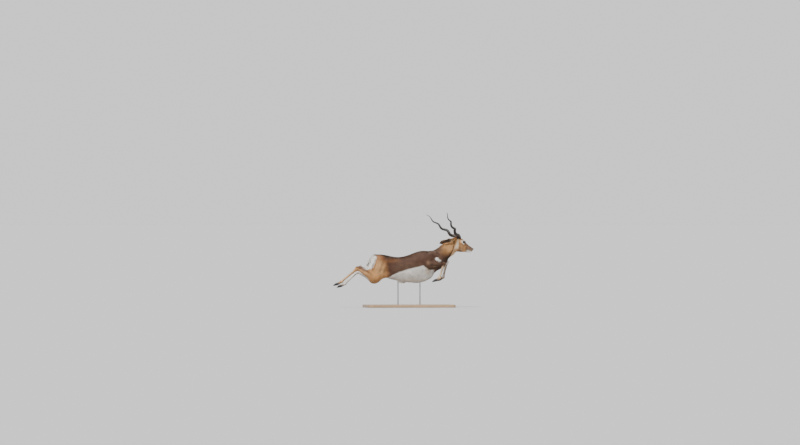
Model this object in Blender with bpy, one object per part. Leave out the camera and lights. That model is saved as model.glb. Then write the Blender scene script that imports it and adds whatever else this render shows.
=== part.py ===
# Leaping male blackbuck as a life-size museum model on a display stand.
# Metres, +X towards the nose, +Y the animal's left, +Z up, floor at z = 0.
# The flesh is one implicit body of blended forms, parted into nodes by thin cuts.

import math

import bmesh
import bpy
import numpy as np
from mathutils import Matrix

# Driving dimensions
gap = 0.0003
hornLength = 0.395
hornTurns = 3.4
hornBaseRadius = 0.0175
hornTipRadius = 0.0026
hornSwing = 0.0105
hornBow = 0.013
eyeRadius = 0.0150
lidThickness = 0.0026
earLength = 0.132
earWidth = 0.050
earWall = 0.0028
earTubeRadius = 0.0105
hoofLength = 0.056
hoofSplit = 0.0011
baseSize = (0.92, 0.46, 0.030)
basePlace = (0.053, 0.0)
baseCorner = 0.050
baseEdge = 0.004
rodRadius = 0.0080
rodInset = 0.030

# Places of the joints, right side first where the legs differ
neckFoot = (0.335, 0.0, 0.512)
neckTurn = (math.radians(9.5), math.radians(36.0))
headPoll = (0.545, 0.036, 0.716)
headTurn = (math.radians(19.0), math.radians(-22.0))
headRoll = math.radians(3.0)
# How far each ear swings outwards and dips, right and left
earTurn = {-1: (math.radians(8.0), math.radians(-15.0)), 1: (math.radians(-6.0), math.radians(-20.0))}

foreRight = {
    "shoulder": (0.368, -0.066, 0.492),
    "elbow": (0.248, -0.092, 0.446),
    "knee": (0.404, -0.094, 0.455),
    "fetlock": (0.362, -0.080, 0.309),
    "coronet": (0.333, -0.078, 0.287),
    "tip": (0.283, -0.078, 0.270),
}
foreLeft = {
    "shoulder": (0.380, 0.068, 0.492),
    "elbow": (0.290, 0.094, 0.446),
    "knee": (0.468, 0.092, 0.469),
    "fetlock": (0.429, 0.078, 0.315),
    "coronet": (0.399, 0.075, 0.293),
    "tip": (0.351, 0.075, 0.277),
}
hindRight = {
    "hip": (-0.262, -0.062, 0.468),
    "stifle": (-0.326, -0.098, 0.309),
    "hock": (-0.506, -0.074, 0.406),
    "heel": (-0.470, -0.076, 0.428),
    "fetlock": (-0.668, -0.062, 0.272),
    "coronet": (-0.706, -0.061, 0.248),
    "tip": (-0.759, -0.061, 0.231),
}
hindLeft = {
    "hip": (-0.250, 0.062, 0.468),
    "stifle": (-0.300, 0.098, 0.303),
    "hock": (-0.483, 0.070, 0.372),
    "heel": (-0.449, 0.072, 0.396),
    "fetlock": (-0.614, 0.058, 0.249),
    "coronet": (-0.650, 0.057, 0.227),
    "tip": (-0.702, 0.057, 0.211),
}
rodPlaces = {"stand_rod_rear": (-0.063, 0.0), "stand_rod_front": (0.169, 0.0)}


def clearScene():
    for item in list(bpy.data.objects):
        bpy.data.objects.remove(item, do_unlink=True)


# Small vector helpers

def turned(yaw, pitch):
    """Columns: forward, left and up of a body that looks along yaw and pitch."""
    forward = np.array([math.cos(yaw) * math.cos(pitch), math.sin(yaw) * math.cos(pitch), math.sin(pitch)])
    left = np.array([-math.sin(yaw), math.cos(yaw), 0.0])
    return np.column_stack([forward, left, np.cross(forward, left)])


def rolled(axes, angle):
    """The same frame with its left side lowered."""
    forward, left, up = axes.T
    return np.column_stack([forward, left * math.cos(angle) - up * math.sin(angle),
                            up * math.cos(angle) + left * math.sin(angle)])


headAxes = rolled(turned(*headTurn), headRoll)
neckAxes = turned(*neckTurn)


def onHead(along, side, up):
    """A point of the head, measured from the poll."""
    return np.array(headPoll) + headAxes @ np.array([along, side, up])


def unit(vector):
    vector = np.asarray(vector, dtype=float)
    return vector / np.linalg.norm(vector)


# Distance forms, negative inside

def smoothUnion(a, b, blend):
    reach = np.maximum(blend - np.abs(a - b), 0.0) / blend
    return np.minimum(a, b) - reach * reach * blend * 0.25


def smoothCut(a, b, blend):
    return -smoothUnion(-a, b, blend)


def smoothRows(rows, count=160):
    """Stations joined by a smooth curve, sampled finely."""
    rows = np.array(rows, dtype=float)
    s = rows[:, 0]
    fine = np.linspace(s[0], s[-1], count)
    span = np.clip(np.searchsorted(s, fine, side="right") - 1, 0, len(s) - 2)
    t = ((fine - s[span]) / (s[span + 1] - s[span]))[:, None]
    width = (s[span + 1] - s[span])[:, None]
    slopes = np.gradient(rows[:, 1:], s, axis=0)
    here = rows[span, 1:]
    there = rows[span + 1, 1:]
    shape = (here * (2 * t ** 3 - 3 * t ** 2 + 1) + there * (3 * t ** 2 - 2 * t ** 3)
             + slopes[span] * width * (t ** 3 - 2 * t ** 2 + t)
             + slopes[span + 1] * width * (t ** 3 - t ** 2))
    return np.column_stack([fine, shape])


def loft(origin, axes, rows, caps, blend):
    """A run of superellipse sections: along, up, down, half width, roundness, side shift."""
    table = smoothRows(rows)
    origin = np.array(origin, dtype=float)
    first, last = table[0, 0], table[-1, 0]

    def distance(points):
        local = (points - origin) @ axes
        along = np.clip(local[:, 0], first + 1e-4, last - 1e-4)
        up = np.interp(along, table[:, 0], table[:, 1])
        down = np.interp(along, table[:, 0], table[:, 2])
        half = np.interp(along, table[:, 0], table[:, 3])
        power = np.interp(along, table[:, 0], table[:, 4])
        shift = np.interp(along, table[:, 0], table[:, 5])
        low = np.clip((first + caps[0] - along) / caps[0], 0.0, 1.0)
        high = np.clip((along - last + caps[1]) / caps[1], 0.0, 1.0)
        round_ = np.sqrt(np.maximum(1.0 - np.maximum(low, high) ** 2, 1e-3))
        tall = 0.5 * (up - down) * round_
        wide = half * round_
        a = np.abs(local[:, 2] - 0.5 * (up + down)) / tall
        b = np.abs(local[:, 1] - shift) / wide
        a = np.maximum(a, 1e-6)
        b = np.maximum(b, 1e-6)
        radius = (a ** power + b ** power) ** (1.0 / power)
        slope = np.hypot(a ** (power - 1) / tall, b ** (power - 1) / wide) * radius ** (1 - power)
        inside = (radius - 1.0) / np.maximum(slope, 1.0)
        beyond = np.abs(local[:, 0] - along)
        return np.where(beyond > 2e-4, np.hypot(np.maximum(inside, 0.0), beyond), inside)

    middle = origin + axes @ np.array([0.5 * (first + last), 0.0, 0.0])
    reach = 0.5 * (last - first) + np.max(np.abs(table[:, 1:4]))
    return {"distance": distance, "low": middle - reach, "high": middle + reach, "blend": blend}


def bone(start, end, startRadius, endRadius, blend, flat=1.0, side=(0.0, 1.0, 0.0)):
    """A tapered rod with round ends, its width across side squeezed to flat."""
    start = np.array(start, dtype=float)
    end = np.array(end, dtype=float)
    side = unit(side)
    run = end - start

    def distance(points):
        offset = points - start
        t = np.clip(offset @ run / (run @ run), 0.0, 1.0)
        rest = offset - t[:, None] * run
        across = rest @ side
        rest = rest + side * (across * (1.0 / flat - 1.0))[:, None]
        smooth = t * t * (3 - 2 * t)
        return np.linalg.norm(rest, axis=1) - (startRadius + (endRadius - startRadius) * smooth)

    reach = max(startRadius, endRadius)
    return {"distance": distance, "low": np.minimum(start, end) - reach,
            "high": np.maximum(start, end) + reach, "blend": blend}


def lump(centre, radii, blend, yaw=0.0, pitch=0.0, axes=None, cut=False):
    """An ellipsoid with radii along, across and up."""
    centre = np.array(centre, dtype=float)
    radii = np.array(radii, dtype=float)
    axes = turned(yaw, pitch) if axes is None else axes

    def distance(points):
        local = (points - centre) @ axes
        k0 = np.linalg.norm(local / radii, axis=1)
        k1 = np.linalg.norm(local / radii ** 2, axis=1)
        return np.where(k0 < 1e-6, -radii.min(), k0 * (k0 - 1.0) / np.maximum(k1, 1e-9))

    reach = radii.max()
    return {"distance": distance, "low": centre - reach, "high": centre + reach, "blend": blend, "cut": cut}


# Trunk and neck

def trunkForms():
    level = np.eye(3)
    forms = []
    # along, back line, belly line, half width, roundness, side shift
    body = [
        (-0.372, 0.478, 0.425, 0.040, 2.0, 0.0),
        (-0.330, 0.536, 0.385, 0.074, 2.0, 0.0),
        (-0.275, 0.552, 0.352, 0.094, 2.1, 0.0),
        (-0.200, 0.547, 0.318, 0.098, 2.2, 0.0),
        (-0.137, 0.534, 0.296, 0.094, 2.2, 0.0),
        (-0.070, 0.525, 0.281, 0.098, 2.2, 0.0),
        (-0.005, 0.532, 0.268, 0.106, 2.2, 0.0),
        (0.055, 0.549, 0.262, 0.112, 2.15, 0.0),
        (0.116, 0.573, 0.264, 0.111, 2.1, 0.0),
        (0.180, 0.590, 0.276, 0.104, 2.0, 0.0),
        (0.243, 0.589, 0.306, 0.090, 2.0, 0.0),
        (0.306, 0.578, 0.352, 0.072, 2.0, 0.0),
        (0.370, 0.560, 0.402, 0.055, 2.0, 0.0),
        (0.430, 0.535, 0.448, 0.040, 2.0, 0.004),
    ]
    forms.append(loft((0, 0, 0), level, body, (0.030, 0.045), 0.02))
    # neck: along, nape, throat, half width, roundness, side shift
    neck = [
        (-0.070, 0.060, -0.105, 0.062, 2.0, 0.0),
        (0.000, 0.074, -0.104, 0.068, 2.0, 0.0),
        (0.050, 0.075, -0.094, 0.066, 2.0, 0.0),
        (0.100, 0.073, -0.087, 0.060, 2.0, 0.0),
        (0.150, 0.072, -0.086, 0.055, 2.0, 0.0),
        (0.200, 0.069, -0.089, 0.052, 2.0, 0.0),
        (0.250, 0.060, -0.088, 0.050, 2.0, 0.002),
        (0.300, 0.042, -0.070, 0.044, 2.0, 0.004),
    ]
    forms.append(loft(neckFoot, neckAxes, neck, (0.050, 0.040), 0.050))
    for side in (-1, 1):
        leg = foreRight if side < 0 else foreLeft
        hind = hindRight if side < 0 else hindLeft
        # shoulder blade, breast muscle and upper arm
        forms.append(lump((0.262, 0.068 * side, 0.512), (0.095, 0.032, 0.060), 0.030, 0.06 * side, 0.85))
        forms.append(lump((0.325, 0.060 * side, 0.505), (0.072, 0.030, 0.040), 0.030, 0.0, 0.45))
        forms.append(bone(leg["shoulder"], leg["elbow"], 0.036, 0.032, 0.030, 0.85))
        # point of the hip, rump and thigh
        forms.append(lump((-0.175, 0.062 * side, 0.505), (0.042, 0.026, 0.026), 0.030))
        forms.append(lump((-0.280, 0.062 * side, 0.468), (0.078, 0.046, 0.080), 0.035))
        middle = 0.5 * (np.array(hind["hip"]) + np.array(hind["stifle"]))
        forms.append(lump(middle + (-0.022, 0.006 * side, -0.012), (0.085, 0.046, 0.100), 0.040, 0.0, 0.10))
        forms.append(bone(hind["hip"], hind["stifle"], 0.060, 0.045, 0.035, 0.75))
        forms.append(lump(np.array(hind["stifle"]) + (0.010, 0.0, 0.010), (0.042, 0.034, 0.040), 0.030))
        # fold of skin from the stifle to the flank
        fold = np.array(hind["stifle"]) + (0.030, 0.002 * side, 0.020)
        forms.append(bone(fold, (-0.140, 0.066 * side, 0.335), 0.030, 0.020, 0.040, 0.7))
    # breast, brisket and the hollow before each thigh
    forms.append(lump((0.405, 0.004, 0.488), (0.045, 0.040, 0.050), 0.030))
    forms.append(lump((0.200, 0.0, 0.315), (0.110, 0.055, 0.042), 0.035, 0.0, 0.28))
    for side in (-1, 1):
        forms.append(lump((-0.128, 0.135 * side, 0.462), (0.050, 0.034, 0.060), 0.040, cut=True))
    forms.append(bone((-0.045, 0.0, 0.275), (0.000, 0.0, 0.262), 0.016, 0.012, 0.020))
    # root of the tail
    forms.append(bone((-0.312, 0.0, 0.527), (-0.350, 0.0, 0.506), 0.022, 0.016, 0.025))
    return forms


# Head

def headForms():
    forms = []
    # skull and face: along, brow line, lower line, half width, roundness, side shift
    face = [
        (-0.030, 0.004, -0.070, 0.038, 2.0, 0.0),
        (0.000, 0.014, -0.082, 0.046, 2.1, 0.0),
        (0.035, 0.024, -0.088, 0.051, 2.2, 0.0),
        (0.070, 0.028, -0.086, 0.053, 2.3, 0.0),
        (0.100, 0.023, -0.080, 0.046, 2.3, 0.0),
        (0.130, 0.010, -0.072, 0.037, 2.3, 0.0),
        (0.160, 0.000, -0.064, 0.030, 2.3, 0.0),
        (0.190, -0.006, -0.062, 0.026, 2.4, 0.0),
        (0.215, -0.010, -0.061, 0.0245, 2.5, 0.0),
        (0.240, -0.018, -0.058, 0.021, 2.4, 0.0),
    ]
    forms.append(loft(headPoll, headAxes, face, (0.035, 0.022), 0.03))
    # lower jaw: along, upper line, lower line, half width, roundness, side shift
    jaw = [
        (0.040, -0.050, -0.104, 0.030, 2.0, 0.0),
        (0.075, -0.050, -0.112, 0.034, 2.0, 0.0),
        (0.110, -0.052, -0.106, 0.031, 2.0, 0.0),
        (0.145, -0.052, -0.092, 0.024, 2.0, 0.0),
        (0.180, -0.044, -0.079, 0.020, 2.0, 0.0),
        (0.205, -0.042, -0.074, 0.019, 2.0, 0.0),
        (0.228, -0.042, -0.071, 0.017, 2.0, 0.0),
    ]
    forms.append(loft(headPoll, headAxes, jaw, (0.030, 0.016), 0.012))
    for side in (-1, 1):
        # cheek, cheek bone, brow over the eye, horn seat and root of the ear
        forms.append(lump(onHead(0.080, 0.034 * side, -0.066), (0.042, 0.016, 0.036), 0.020, axes=headAxes))
        forms.append(bone(onHead(0.060, 0.048 * side, -0.026), onHead(0.140, 0.031 * side, -0.034),
                          0.011, 0.007, 0.014))
        forms.append(bone(onHead(0.058, 0.048 * side, 0.004), onHead(0.103, 0.045 * side, 0.008),
                          0.010, 0.006, 0.012))
        forms.append(lump(eyePlace(side), (eyeRadius + lidThickness,) * 3, 0.007))
        forms.append(bone(onHead(0.038, 0.025 * side, -0.010), hornFoot(side) - hornStart(side) * 0.002,
                          0.022, 0.0195, 0.012))
        forms.append(bone(onHead(-0.004, 0.034 * side, -0.022), earFoot(side) + earLie(side) * 0.012,
                          0.016, 0.014, 0.012))
        # nostril wing
        forms.append(lump(onHead(0.230, 0.014 * side, -0.024), (0.012, 0.009, 0.010), 0.006, axes=headAxes))
        # gland pit before the eye
        forms.append(lump(onHead(0.113, 0.0475 * side, -0.020), (0.009, 0.005, 0.004), 0.006,
                          axes=headAxes, cut=True))
    return forms


def eyePlace(side):
    return onHead(0.084, 0.0425 * side, -0.010)


def eyeAxes(side):
    """Columns: out of the eye, towards the nose, up."""
    look = unit(headAxes @ np.array([0.26, 0.955 * side, 0.10]))
    up = unit(headAxes[:, 2] - look * (headAxes[:, 2] @ look))
    nose = np.cross(up, look)
    return np.column_stack([look, nose if nose @ headAxes[:, 0] > 0 else -nose, up])


def hornFoot(side):
    return onHead(0.026, 0.027 * side, 0.026)


def hornEnd(side):
    return hornFoot(side) + unit(headAxes @ np.array([-0.324, 0.176 * side, 0.136])) * hornLength


def hornStart(side):
    return unit(unit(hornEnd(side) - hornFoot(side)) + headAxes @ np.array([0.25, 0.0, 0.25]))


def earFoot(side):
    return onHead(-0.024, 0.054 * side, -0.015)


def earLie(side):
    """The ear is laid back along the nape."""
    swing, dip = earTurn[side]
    return turned(headTurn[0] + math.pi + swing * side, dip)[:, 0]


# Legs below elbow and stifle

def foreForms(leg):
    elbow, knee, fetlock, coronet = (np.array(leg[k]) for k in ("elbow", "knee", "fetlock", "coronet"))
    upper = elbow + (knee - elbow) * 0.30
    thin = knee + (fetlock - knee) * 0.35
    forms = [
        bone(elbow, upper, 0.030, 0.027, 0.010, 0.85),
        bone(upper, knee, 0.027, 0.0155, 0.010, 0.9),
        lump(knee, (0.0200, 0.0165, 0.0190), 0.012),
        bone(knee, thin, 0.0165, 0.0112, 0.010, 0.95),
        bone(thin, fetlock, 0.0112, 0.0120, 0.010, 0.95),
    ]
    return forms + footForms(fetlock, coronet, np.array(leg["tip"]))


def hindForms(leg):
    stifle, hock, heel, fetlock, coronet = (
        np.array(leg[k]) for k in ("stifle", "hock", "heel", "fetlock", "coronet"))
    calf = stifle + (hock - stifle) * 0.32 + (0.0, 0.0, 0.016)
    thin = hock + (fetlock - hock) * 0.30
    forms = [
        bone(stifle, calf, 0.046, 0.041, 0.020, 0.72),
        bone(calf, hock, 0.041, 0.0165, 0.016, 0.80),
        bone(calf + (0.0, 0.0, 0.010), heel, 0.024, 0.0085, 0.014, 0.7),
        bone(hock, heel, 0.0165, 0.0105, 0.012, 0.85),
        lump(hock, (0.0215, 0.0165, 0.0200), 0.010),
        bone(hock, thin, 0.0185, 0.0125, 0.010, 0.9),
        bone(thin, fetlock, 0.0125, 0.0120, 0.010, 0.95),
    ]
    return forms + footForms(fetlock, coronet, np.array(leg["tip"]))


def footForms(fetlock, coronet, tip):
    """Fetlock, pastern and small claws, which are on the sole's side, turned up in the leap."""
    behind = unit(np.cross((0.0, 1.0, 0.0), coronet - fetlock))
    forms = [
        lump(fetlock, (0.0165, 0.0145, 0.0165), 0.008),
        bone(fetlock, coronet, 0.0130, 0.0135, 0.008),
        bone(coronet, coronet + unit(tip - coronet) * 0.012, 0.0135, 0.0125, 0.004, 1.1),
    ]
    for side in (-1, 1):
        forms.append(bone(fetlock, fetlock + (0.0, 0.007 * side, 0.0) + behind * 0.017, 0.008, 0.0055, 0.004))
    return forms


# Each group is blended with the body only round its own joint
groups = [
    {"forms": trunkForms()},
    {"forms": headForms(), "joint": onHead(-0.01, 0, -0.05), "reach": 0.110, "blend": 0.034},
    {"forms": foreForms(foreRight), "joint": np.array(foreRight["elbow"]), "reach": 0.050, "blend": 0.030},
    {"forms": foreForms(foreLeft), "joint": np.array(foreLeft["elbow"]), "reach": 0.050, "blend": 0.030},
    {"forms": hindForms(hindRight), "joint": np.array(hindRight["stifle"]), "reach": 0.120, "blend": 0.040},
    {"forms": hindForms(hindLeft), "joint": np.array(hindLeft["stifle"]), "reach": 0.120, "blend": 0.040},
]


trunk, head, legForeRight, legForeLeft, legHindRight, legHindLeft = range(6)
# Further than this from its box a form has no say
formReach = 0.05


def flesh(points, chosen=range(6)):
    """Distance of each point from the surface of the chosen groups, about true near it."""
    total = np.ones(len(points))
    for group in (groups[k] for k in chosen):
        own = np.ones(len(points))
        for form in group["forms"]:
            close = (points > form["low"] - formReach) & (points < form["high"] + formReach)
            near = np.flatnonzero(np.all(close, axis=1))
            if not near.size:
                continue
            value = form["distance"](points[near])
            if form.get("cut"):
                own[near] = smoothCut(own[near], value, form["blend"])
            else:
                own[near] = smoothUnion(own[near], value, form["blend"])
        if "joint" in group and len(chosen) > 1:
            away = np.linalg.norm(points - group["joint"], axis=1) / group["reach"]
            blend = 0.001 + group["blend"] * np.exp(-away ** 4)
            total = smoothUnion(total, own, blend)
        else:
            total = own
    return total


# Surface of the flesh inside a box

def closedSurface(low, high, step, chosen):
    """A grid that meets the surface badly leaves an edge with too many faces, so it is moved a little."""
    for trial in range(6):
        points, faces = netSurface(np.array(low) - 0.23 * step * trial, high, step, chosen)
        edges = np.sort(np.vstack([faces[:, [k, (k + 1) % 4]] for k in range(4)]), axis=1)
        counts = np.unique(edges, axis=0, return_counts=True)[1]
        if np.all(counts == 2):
            break
    return settle(points, chosen), faces


def netSurface(low, high, step, chosen):
    """Quads round the zero surface on a regular grid, closed at the box's faces."""
    low = np.array(low, dtype=float)
    high = np.array(high, dtype=float)
    count = np.ceil((high - low) / step).astype(int) + 1
    lines = [low[k] + step * np.arange(count[k]) for k in range(3)]
    grid = np.stack(np.meshgrid(*lines, indexing="ij"), axis=-1)
    value = np.empty(tuple(count))
    for slab in range(count[0]):
        value[slab] = flesh(grid[slab].reshape(-1, 3), chosen).reshape(count[1:])
    value[0], value[-1] = step, step
    value[:, 0], value[:, -1] = step, step
    value[:, :, 0], value[:, :, -1] = step, step
    inside = value < 0.0
    cells = tuple(count - 1)
    corner = {}
    for i in (0, 1):
        for j in (0, 1):
            for k in (0, 1):
                corner[i, j, k] = (slice(i, i + cells[0]), slice(j, j + cells[1]), slice(k, k + cells[2]))
    filled = sum(inside[c].astype(int) for c in corner.values())
    active = np.argwhere((filled > 0) & (filled < 8))
    number = np.full(cells, -1)
    number[tuple(active.T)] = np.arange(len(active))
    place = np.zeros((len(active), 3))
    crossings = np.zeros(len(active))
    for axis in range(3):
        ahead = np.eye(3, dtype=int)[axis]
        others = [k for k in range(3) if k != axis]
        for p in (0, 1):
            for q in (0, 1):
                offset = np.zeros(3, dtype=int)
                offset[others[0]] = p
                offset[others[1]] = q
                a = value[tuple((active + offset).T)]
                b = value[tuple((active + offset + ahead).T)]
                hit = (a < 0) != (b < 0)
                t = np.where(hit, a / np.where(hit, a - b, 1.0), 0.0)
                place += np.where(hit, 1.0, 0.0)[:, None] * (offset + t[:, None] * ahead)
                crossings += hit
    points = low + step * (active + place / crossings[:, None])
    faces = []
    for axis in range(3):
        one, two = [(1, 2), (2, 0), (0, 1)][axis]
        early = np.take(inside, range(count[axis] - 1), axis)
        start = np.argwhere(early != np.take(inside, range(1, count[axis]), axis))
        start = start[(start[:, one] > 0) & (start[:, two] > 0)]
        start = start[(start[:, one] < cells[one]) & (start[:, two] < cells[two])]
        ring = []
        for back in ((0, 0), (1, 0), (1, 1), (0, 1)):
            cell = start.copy()
            cell[:, one] -= back[0]
            cell[:, two] -= back[1]
            ring.append(number[tuple(cell.T)])
        ring = np.column_stack(ring)
        outward = inside[tuple(start.T)]
        faces.append(np.where(outward[:, None], ring, ring[:, ::-1]))
    return points, np.vstack(faces)


def settle(points, chosen, rounds=3, limit=0.006):
    """Points moved onto the zero surface along its slope."""
    tiny = 4e-4
    points = points.copy()
    for _ in range(rounds):
        here = flesh(points, chosen)
        slope = np.column_stack([(flesh(points + tiny * axis, chosen) - flesh(points - tiny * axis, chosen))
                                 for axis in np.eye(3)]) / (2 * tiny)
        size = np.maximum((slope ** 2).sum(axis=1), 0.05)
        move = slope * (here / size)[:, None]
        length = np.linalg.norm(move, axis=1)
        points -= move * np.minimum(1.0, limit / np.maximum(length, 1e-9))[:, None]
    return points


# Mesh objects

materials = {
    "coat": ((0.30, 0.17, 0.09), 0.85),
    "coatDark": ((0.10, 0.06, 0.04), 0.85),
    "coatPale": ((0.75, 0.68, 0.58), 0.85),
    "horn": ((0.045, 0.038, 0.032), 0.55),
    "hoof": ((0.03, 0.027, 0.025), 0.45),
    "eye": ((0.02, 0.012, 0.008), 0.08),
    "standWood": ((0.42, 0.30, 0.20), 0.5),
    "standSteel": ((0.35, 0.35, 0.36), 0.3),
}


def materialNamed(name):
    if name in bpy.data.materials:
        return bpy.data.materials[name]
    colour, roughness = materials[name]
    material = bpy.data.materials.new(name)
    material.use_nodes = True
    shader = material.node_tree.nodes["Principled BSDF"]
    shader.inputs["Base Color"].default_value = (*colour, 1.0)
    shader.inputs["Roughness"].default_value = roughness
    shader.inputs["Metallic"].default_value = 1.0 if name == "standSteel" else 0.0
    material.diffuse_color = (*colour, 1.0)
    return material


def objectFrom(name, points, faces, material=None):
    mesh = bpy.data.meshes.new(name)
    mesh.from_pydata([tuple(map(float, p)) for p in points], [], [tuple(map(int, f)) for f in faces])
    mesh.update()
    item = bpy.data.objects.new(name, mesh)
    bpy.context.scene.collection.objects.link(item)
    if material:
        mesh.materials.append(materialNamed(material))
    mesh.shade_smooth()
    return item


def applied(item):
    """The object with its modifiers made real."""
    graph = bpy.context.evaluated_depsgraph_get()
    mesh = bpy.data.meshes.new_from_object(item.evaluated_get(graph))
    old = item.data
    item.modifiers.clear()
    item.data = mesh
    mesh.name = item.name
    bpy.data.meshes.remove(old)
    return item


def largestOnly(item):
    """Keeps the largest closed surface, as triangles."""
    for weld in (2e-6, 0.0, 2e-5, 1e-4, 3e-4):
        poked = set()
        for attempt in range(4):
            shape = bmesh.new()
            shape.from_mesh(item.data)
            if weld:
                bmesh.ops.remove_doubles(shape, verts=shape.verts, dist=weld)
                bmesh.ops.dissolve_degenerate(shape, edges=shape.edges, dist=weld)
            shape.verts.index_update()
            crossed = [f for f in shape.faces if any(holdsDiagonal(f, pair) for pair in poked)]
            bmesh.ops.poke(shape, faces=crossed)
            bmesh.ops.triangulate(shape, faces=shape.faces)
            keep = set(largestShell(shape))
            bmesh.ops.delete(shape, geom=[f for f in shape.faces if f not in keep], context="FACES_ONLY")
            bad = [edge for edge in shape.edges if len(edge.link_faces) not in (0, 2)]
            if not bad:
                loose = [vert for vert in shape.verts if not vert.link_faces]
                bmesh.ops.delete(shape, geom=loose, context="VERTS")
                bmesh.ops.recalc_face_normals(shape, faces=shape.faces)
                if shape.calc_volume(signed=True) < 0:
                    bmesh.ops.reverse_faces(shape, faces=shape.faces)
                shape.to_mesh(item.data)
                shape.free()
                item.data.update()
                return item
            poked.update(tuple(sorted(vert.index for vert in edge.verts)) for edge in bad)
            shape.free()
    raise ValueError(item.name + " isn't closed")


def holdsDiagonal(face, pair):
    """Whether a face joins two points across its middle, where another face has them as an edge."""
    ring = [vert.index for vert in face.verts]
    if len(ring) < 4 or pair[0] not in ring or pair[1] not in ring:
        return False
    apart = abs(ring.index(pair[0]) - ring.index(pair[1]))
    return 1 < apart < len(ring) - 1


def largestShell(shape):
    """The faces of the largest surface that hangs together along its edges."""
    seen = set()
    best = []
    for face in shape.faces:
        if face in seen:
            continue
        shell = []
        queue = [face]
        seen.add(face)
        while queue:
            one = queue.pop()
            shell.append(one)
            for edge in one.edges:
                for other in edge.link_faces:
                    if other not in seen:
                        seen.add(other)
                        queue.append(other)
        if len(shell) > len(best):
            best = shell
    return best


def thinned(item, triangles):
    now = sum(len(p.vertices) - 2 for p in item.data.polygons)
    modifier = item.modifiers.new("thin", "DECIMATE")
    modifier.ratio = min(1.0, triangles / now)
    return applied(item)


def blockAt(name, point, axes, size, centre=(0.0, 0.0, 0.0)):
    """A box given by its centre in the frame at point."""
    item = objectFrom(name, *boxMesh(size))
    rotation = Matrix(np.asarray(axes).tolist()).to_4x4()
    item.matrix_world = Matrix.Translation(point) @ rotation @ Matrix.Translation(centre)
    item.hide_render = True
    item.display_type = "WIRE"
    return item


def boxMesh(size):
    x, y, z = (0.5 * s for s in size)
    corners = [(i * x, j * y, k * z) for i in (-1, 1) for j in (-1, 1) for k in (-1, 1)]
    faces = [(0, 1, 3, 2), (4, 6, 7, 5), (0, 4, 5, 1), (2, 3, 7, 6), (0, 2, 6, 4), (1, 5, 7, 3)]
    return corners, faces


def cutBy(item, cutters):
    """Takes each cutter away in turn; the cutters are removed afterwards."""
    bpy.context.view_layer.update()
    for cutter in cutters:
        modifier = item.modifiers.new("cut", "BOOLEAN")
        modifier.operation = "DIFFERENCE"
        modifier.solver = "EXACT"
        modifier.object = cutter
    applied(item)
    for cutter in cutters:
        bpy.data.objects.remove(cutter, do_unlink=True)
    return largestOnly(item)


def frameAlong(direction, hint=(0.0, 1.0, 0.0)):
    forward = unit(direction)
    up = unit(np.cross(forward, hint))
    return np.column_stack([forward, np.cross(up, forward), up])


# Cuts between the nodes: a point, the way to the outer node, the size of its block

cutPlanes = {
    "neckFoot": (np.array(neckFoot) + neckAxes @ (0.045, 0.0, -0.005), neckAxes, (0.60, 0.36, 0.36)),
    "headFoot": (onHead(-0.022, 0.0, -0.070), turned(headTurn[0] * 0.75, math.radians(22.0)),
                 (0.50, 0.40, 0.44)),
}


def beyondCut(name, key, grow):
    """The block on the outer side of a cut, its face moved inwards by grow."""
    point, axes, size = cutPlanes[key]
    return blockAt(name, point, axes, size, (0.5 * size[0] - grow, 0.0, 0.0))


def beforeCut(name, key, grow):
    point, axes, size = cutPlanes[key]
    return blockAt(name, point, axes, size, (-0.5 * size[0] + grow, 0.0, 0.0))


def legCut(leg, start, end, share, size):
    """A cut across a leg between two of its joints."""
    a = np.array(leg[start])
    b = np.array(leg[end])
    return a + (b - a) * share, frameAlong(b - a), size


for word, leg in (("right", foreRight), ("left", foreLeft)):
    cutPlanes["foreUpper_" + word] = legCut(leg, "elbow", "knee", 0.40, (0.30, 0.072, 0.080))
    cutPlanes["foreLower_" + word] = legCut(leg, "knee", "fetlock", 0.17, (0.30, 0.07, 0.30))
    cutPlanes["foreCoronet_" + word] = legCut(leg, "coronet", "tip", 0.0, (0.08, 0.07, 0.08))
for word, leg in (("right", hindRight), ("left", hindLeft)):
    cutPlanes["hindLower_" + word] = legCut(leg, "hock", "fetlock", 0.16, (0.40, 0.09, 0.12))
    cutPlanes["hindCoronet_" + word] = legCut(leg, "coronet", "tip", 0.0, (0.08, 0.07, 0.08))

thighTilt = math.radians(-28.0)
thighPoint = (-0.250, 0.0, 0.372)
tailRoot = np.array((-0.345, 0.0, 0.509))
tailAxes = frameAlong((-0.70, 0.0, -0.72))
half = 0.5 * gap


def thighBlock():
    """The space below the rump."""
    return blockAt("thighs", thighPoint, turned(0.0, thighTilt), (0.90, 0.40, 0.50),
                   (-0.12, 0.0, -0.25 + half))


def rumpBlock():
    """The space above the thighs."""
    return blockAt("rump", thighPoint, turned(0.0, thighTilt), (0.90, 0.40, 0.50), (0.0, 0.0, 0.25 - half))


def regionOf(low, high, step, triangles, name, material, chosen=range(6)):
    points, faces = closedSurface(low, high, step, chosen)
    return thinned(objectFrom(name, points, faces, material), triangles)


def earSeat(name, side):
    """The space that an ear's root takes up behind its foot."""
    return blockAt(name, earFoot(side), frameAlong(earLie(side), (0, 0, 1)), (0.04, 0.052, 0.05),
                   (0.02 - half, 0.0, 0.0))


# Flesh nodes

def makeTorso():
    item = regionOf((-0.42, -0.18, 0.20), (0.50, 0.18, 0.66), 0.0105, 2900, "torso", "coatDark",
                    (trunk, legForeRight, legForeLeft, legHindRight, legHindLeft))
    cutters = [beyondCut("c1", "neckFoot", half), thighBlock()]
    for word in ("right", "left"):
        cutters.append(beyondCut("c3", "foreUpper_" + word, half))
    cutters.append(blockAt("c4", tailRoot, tailAxes, (0.14, 0.07, 0.07), (0.07 - half, 0.0, 0.0)))
    for place in rodPlaces.values():
        cutters.append(socketCutter(place))
    return cutBy(item, cutters)


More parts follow.
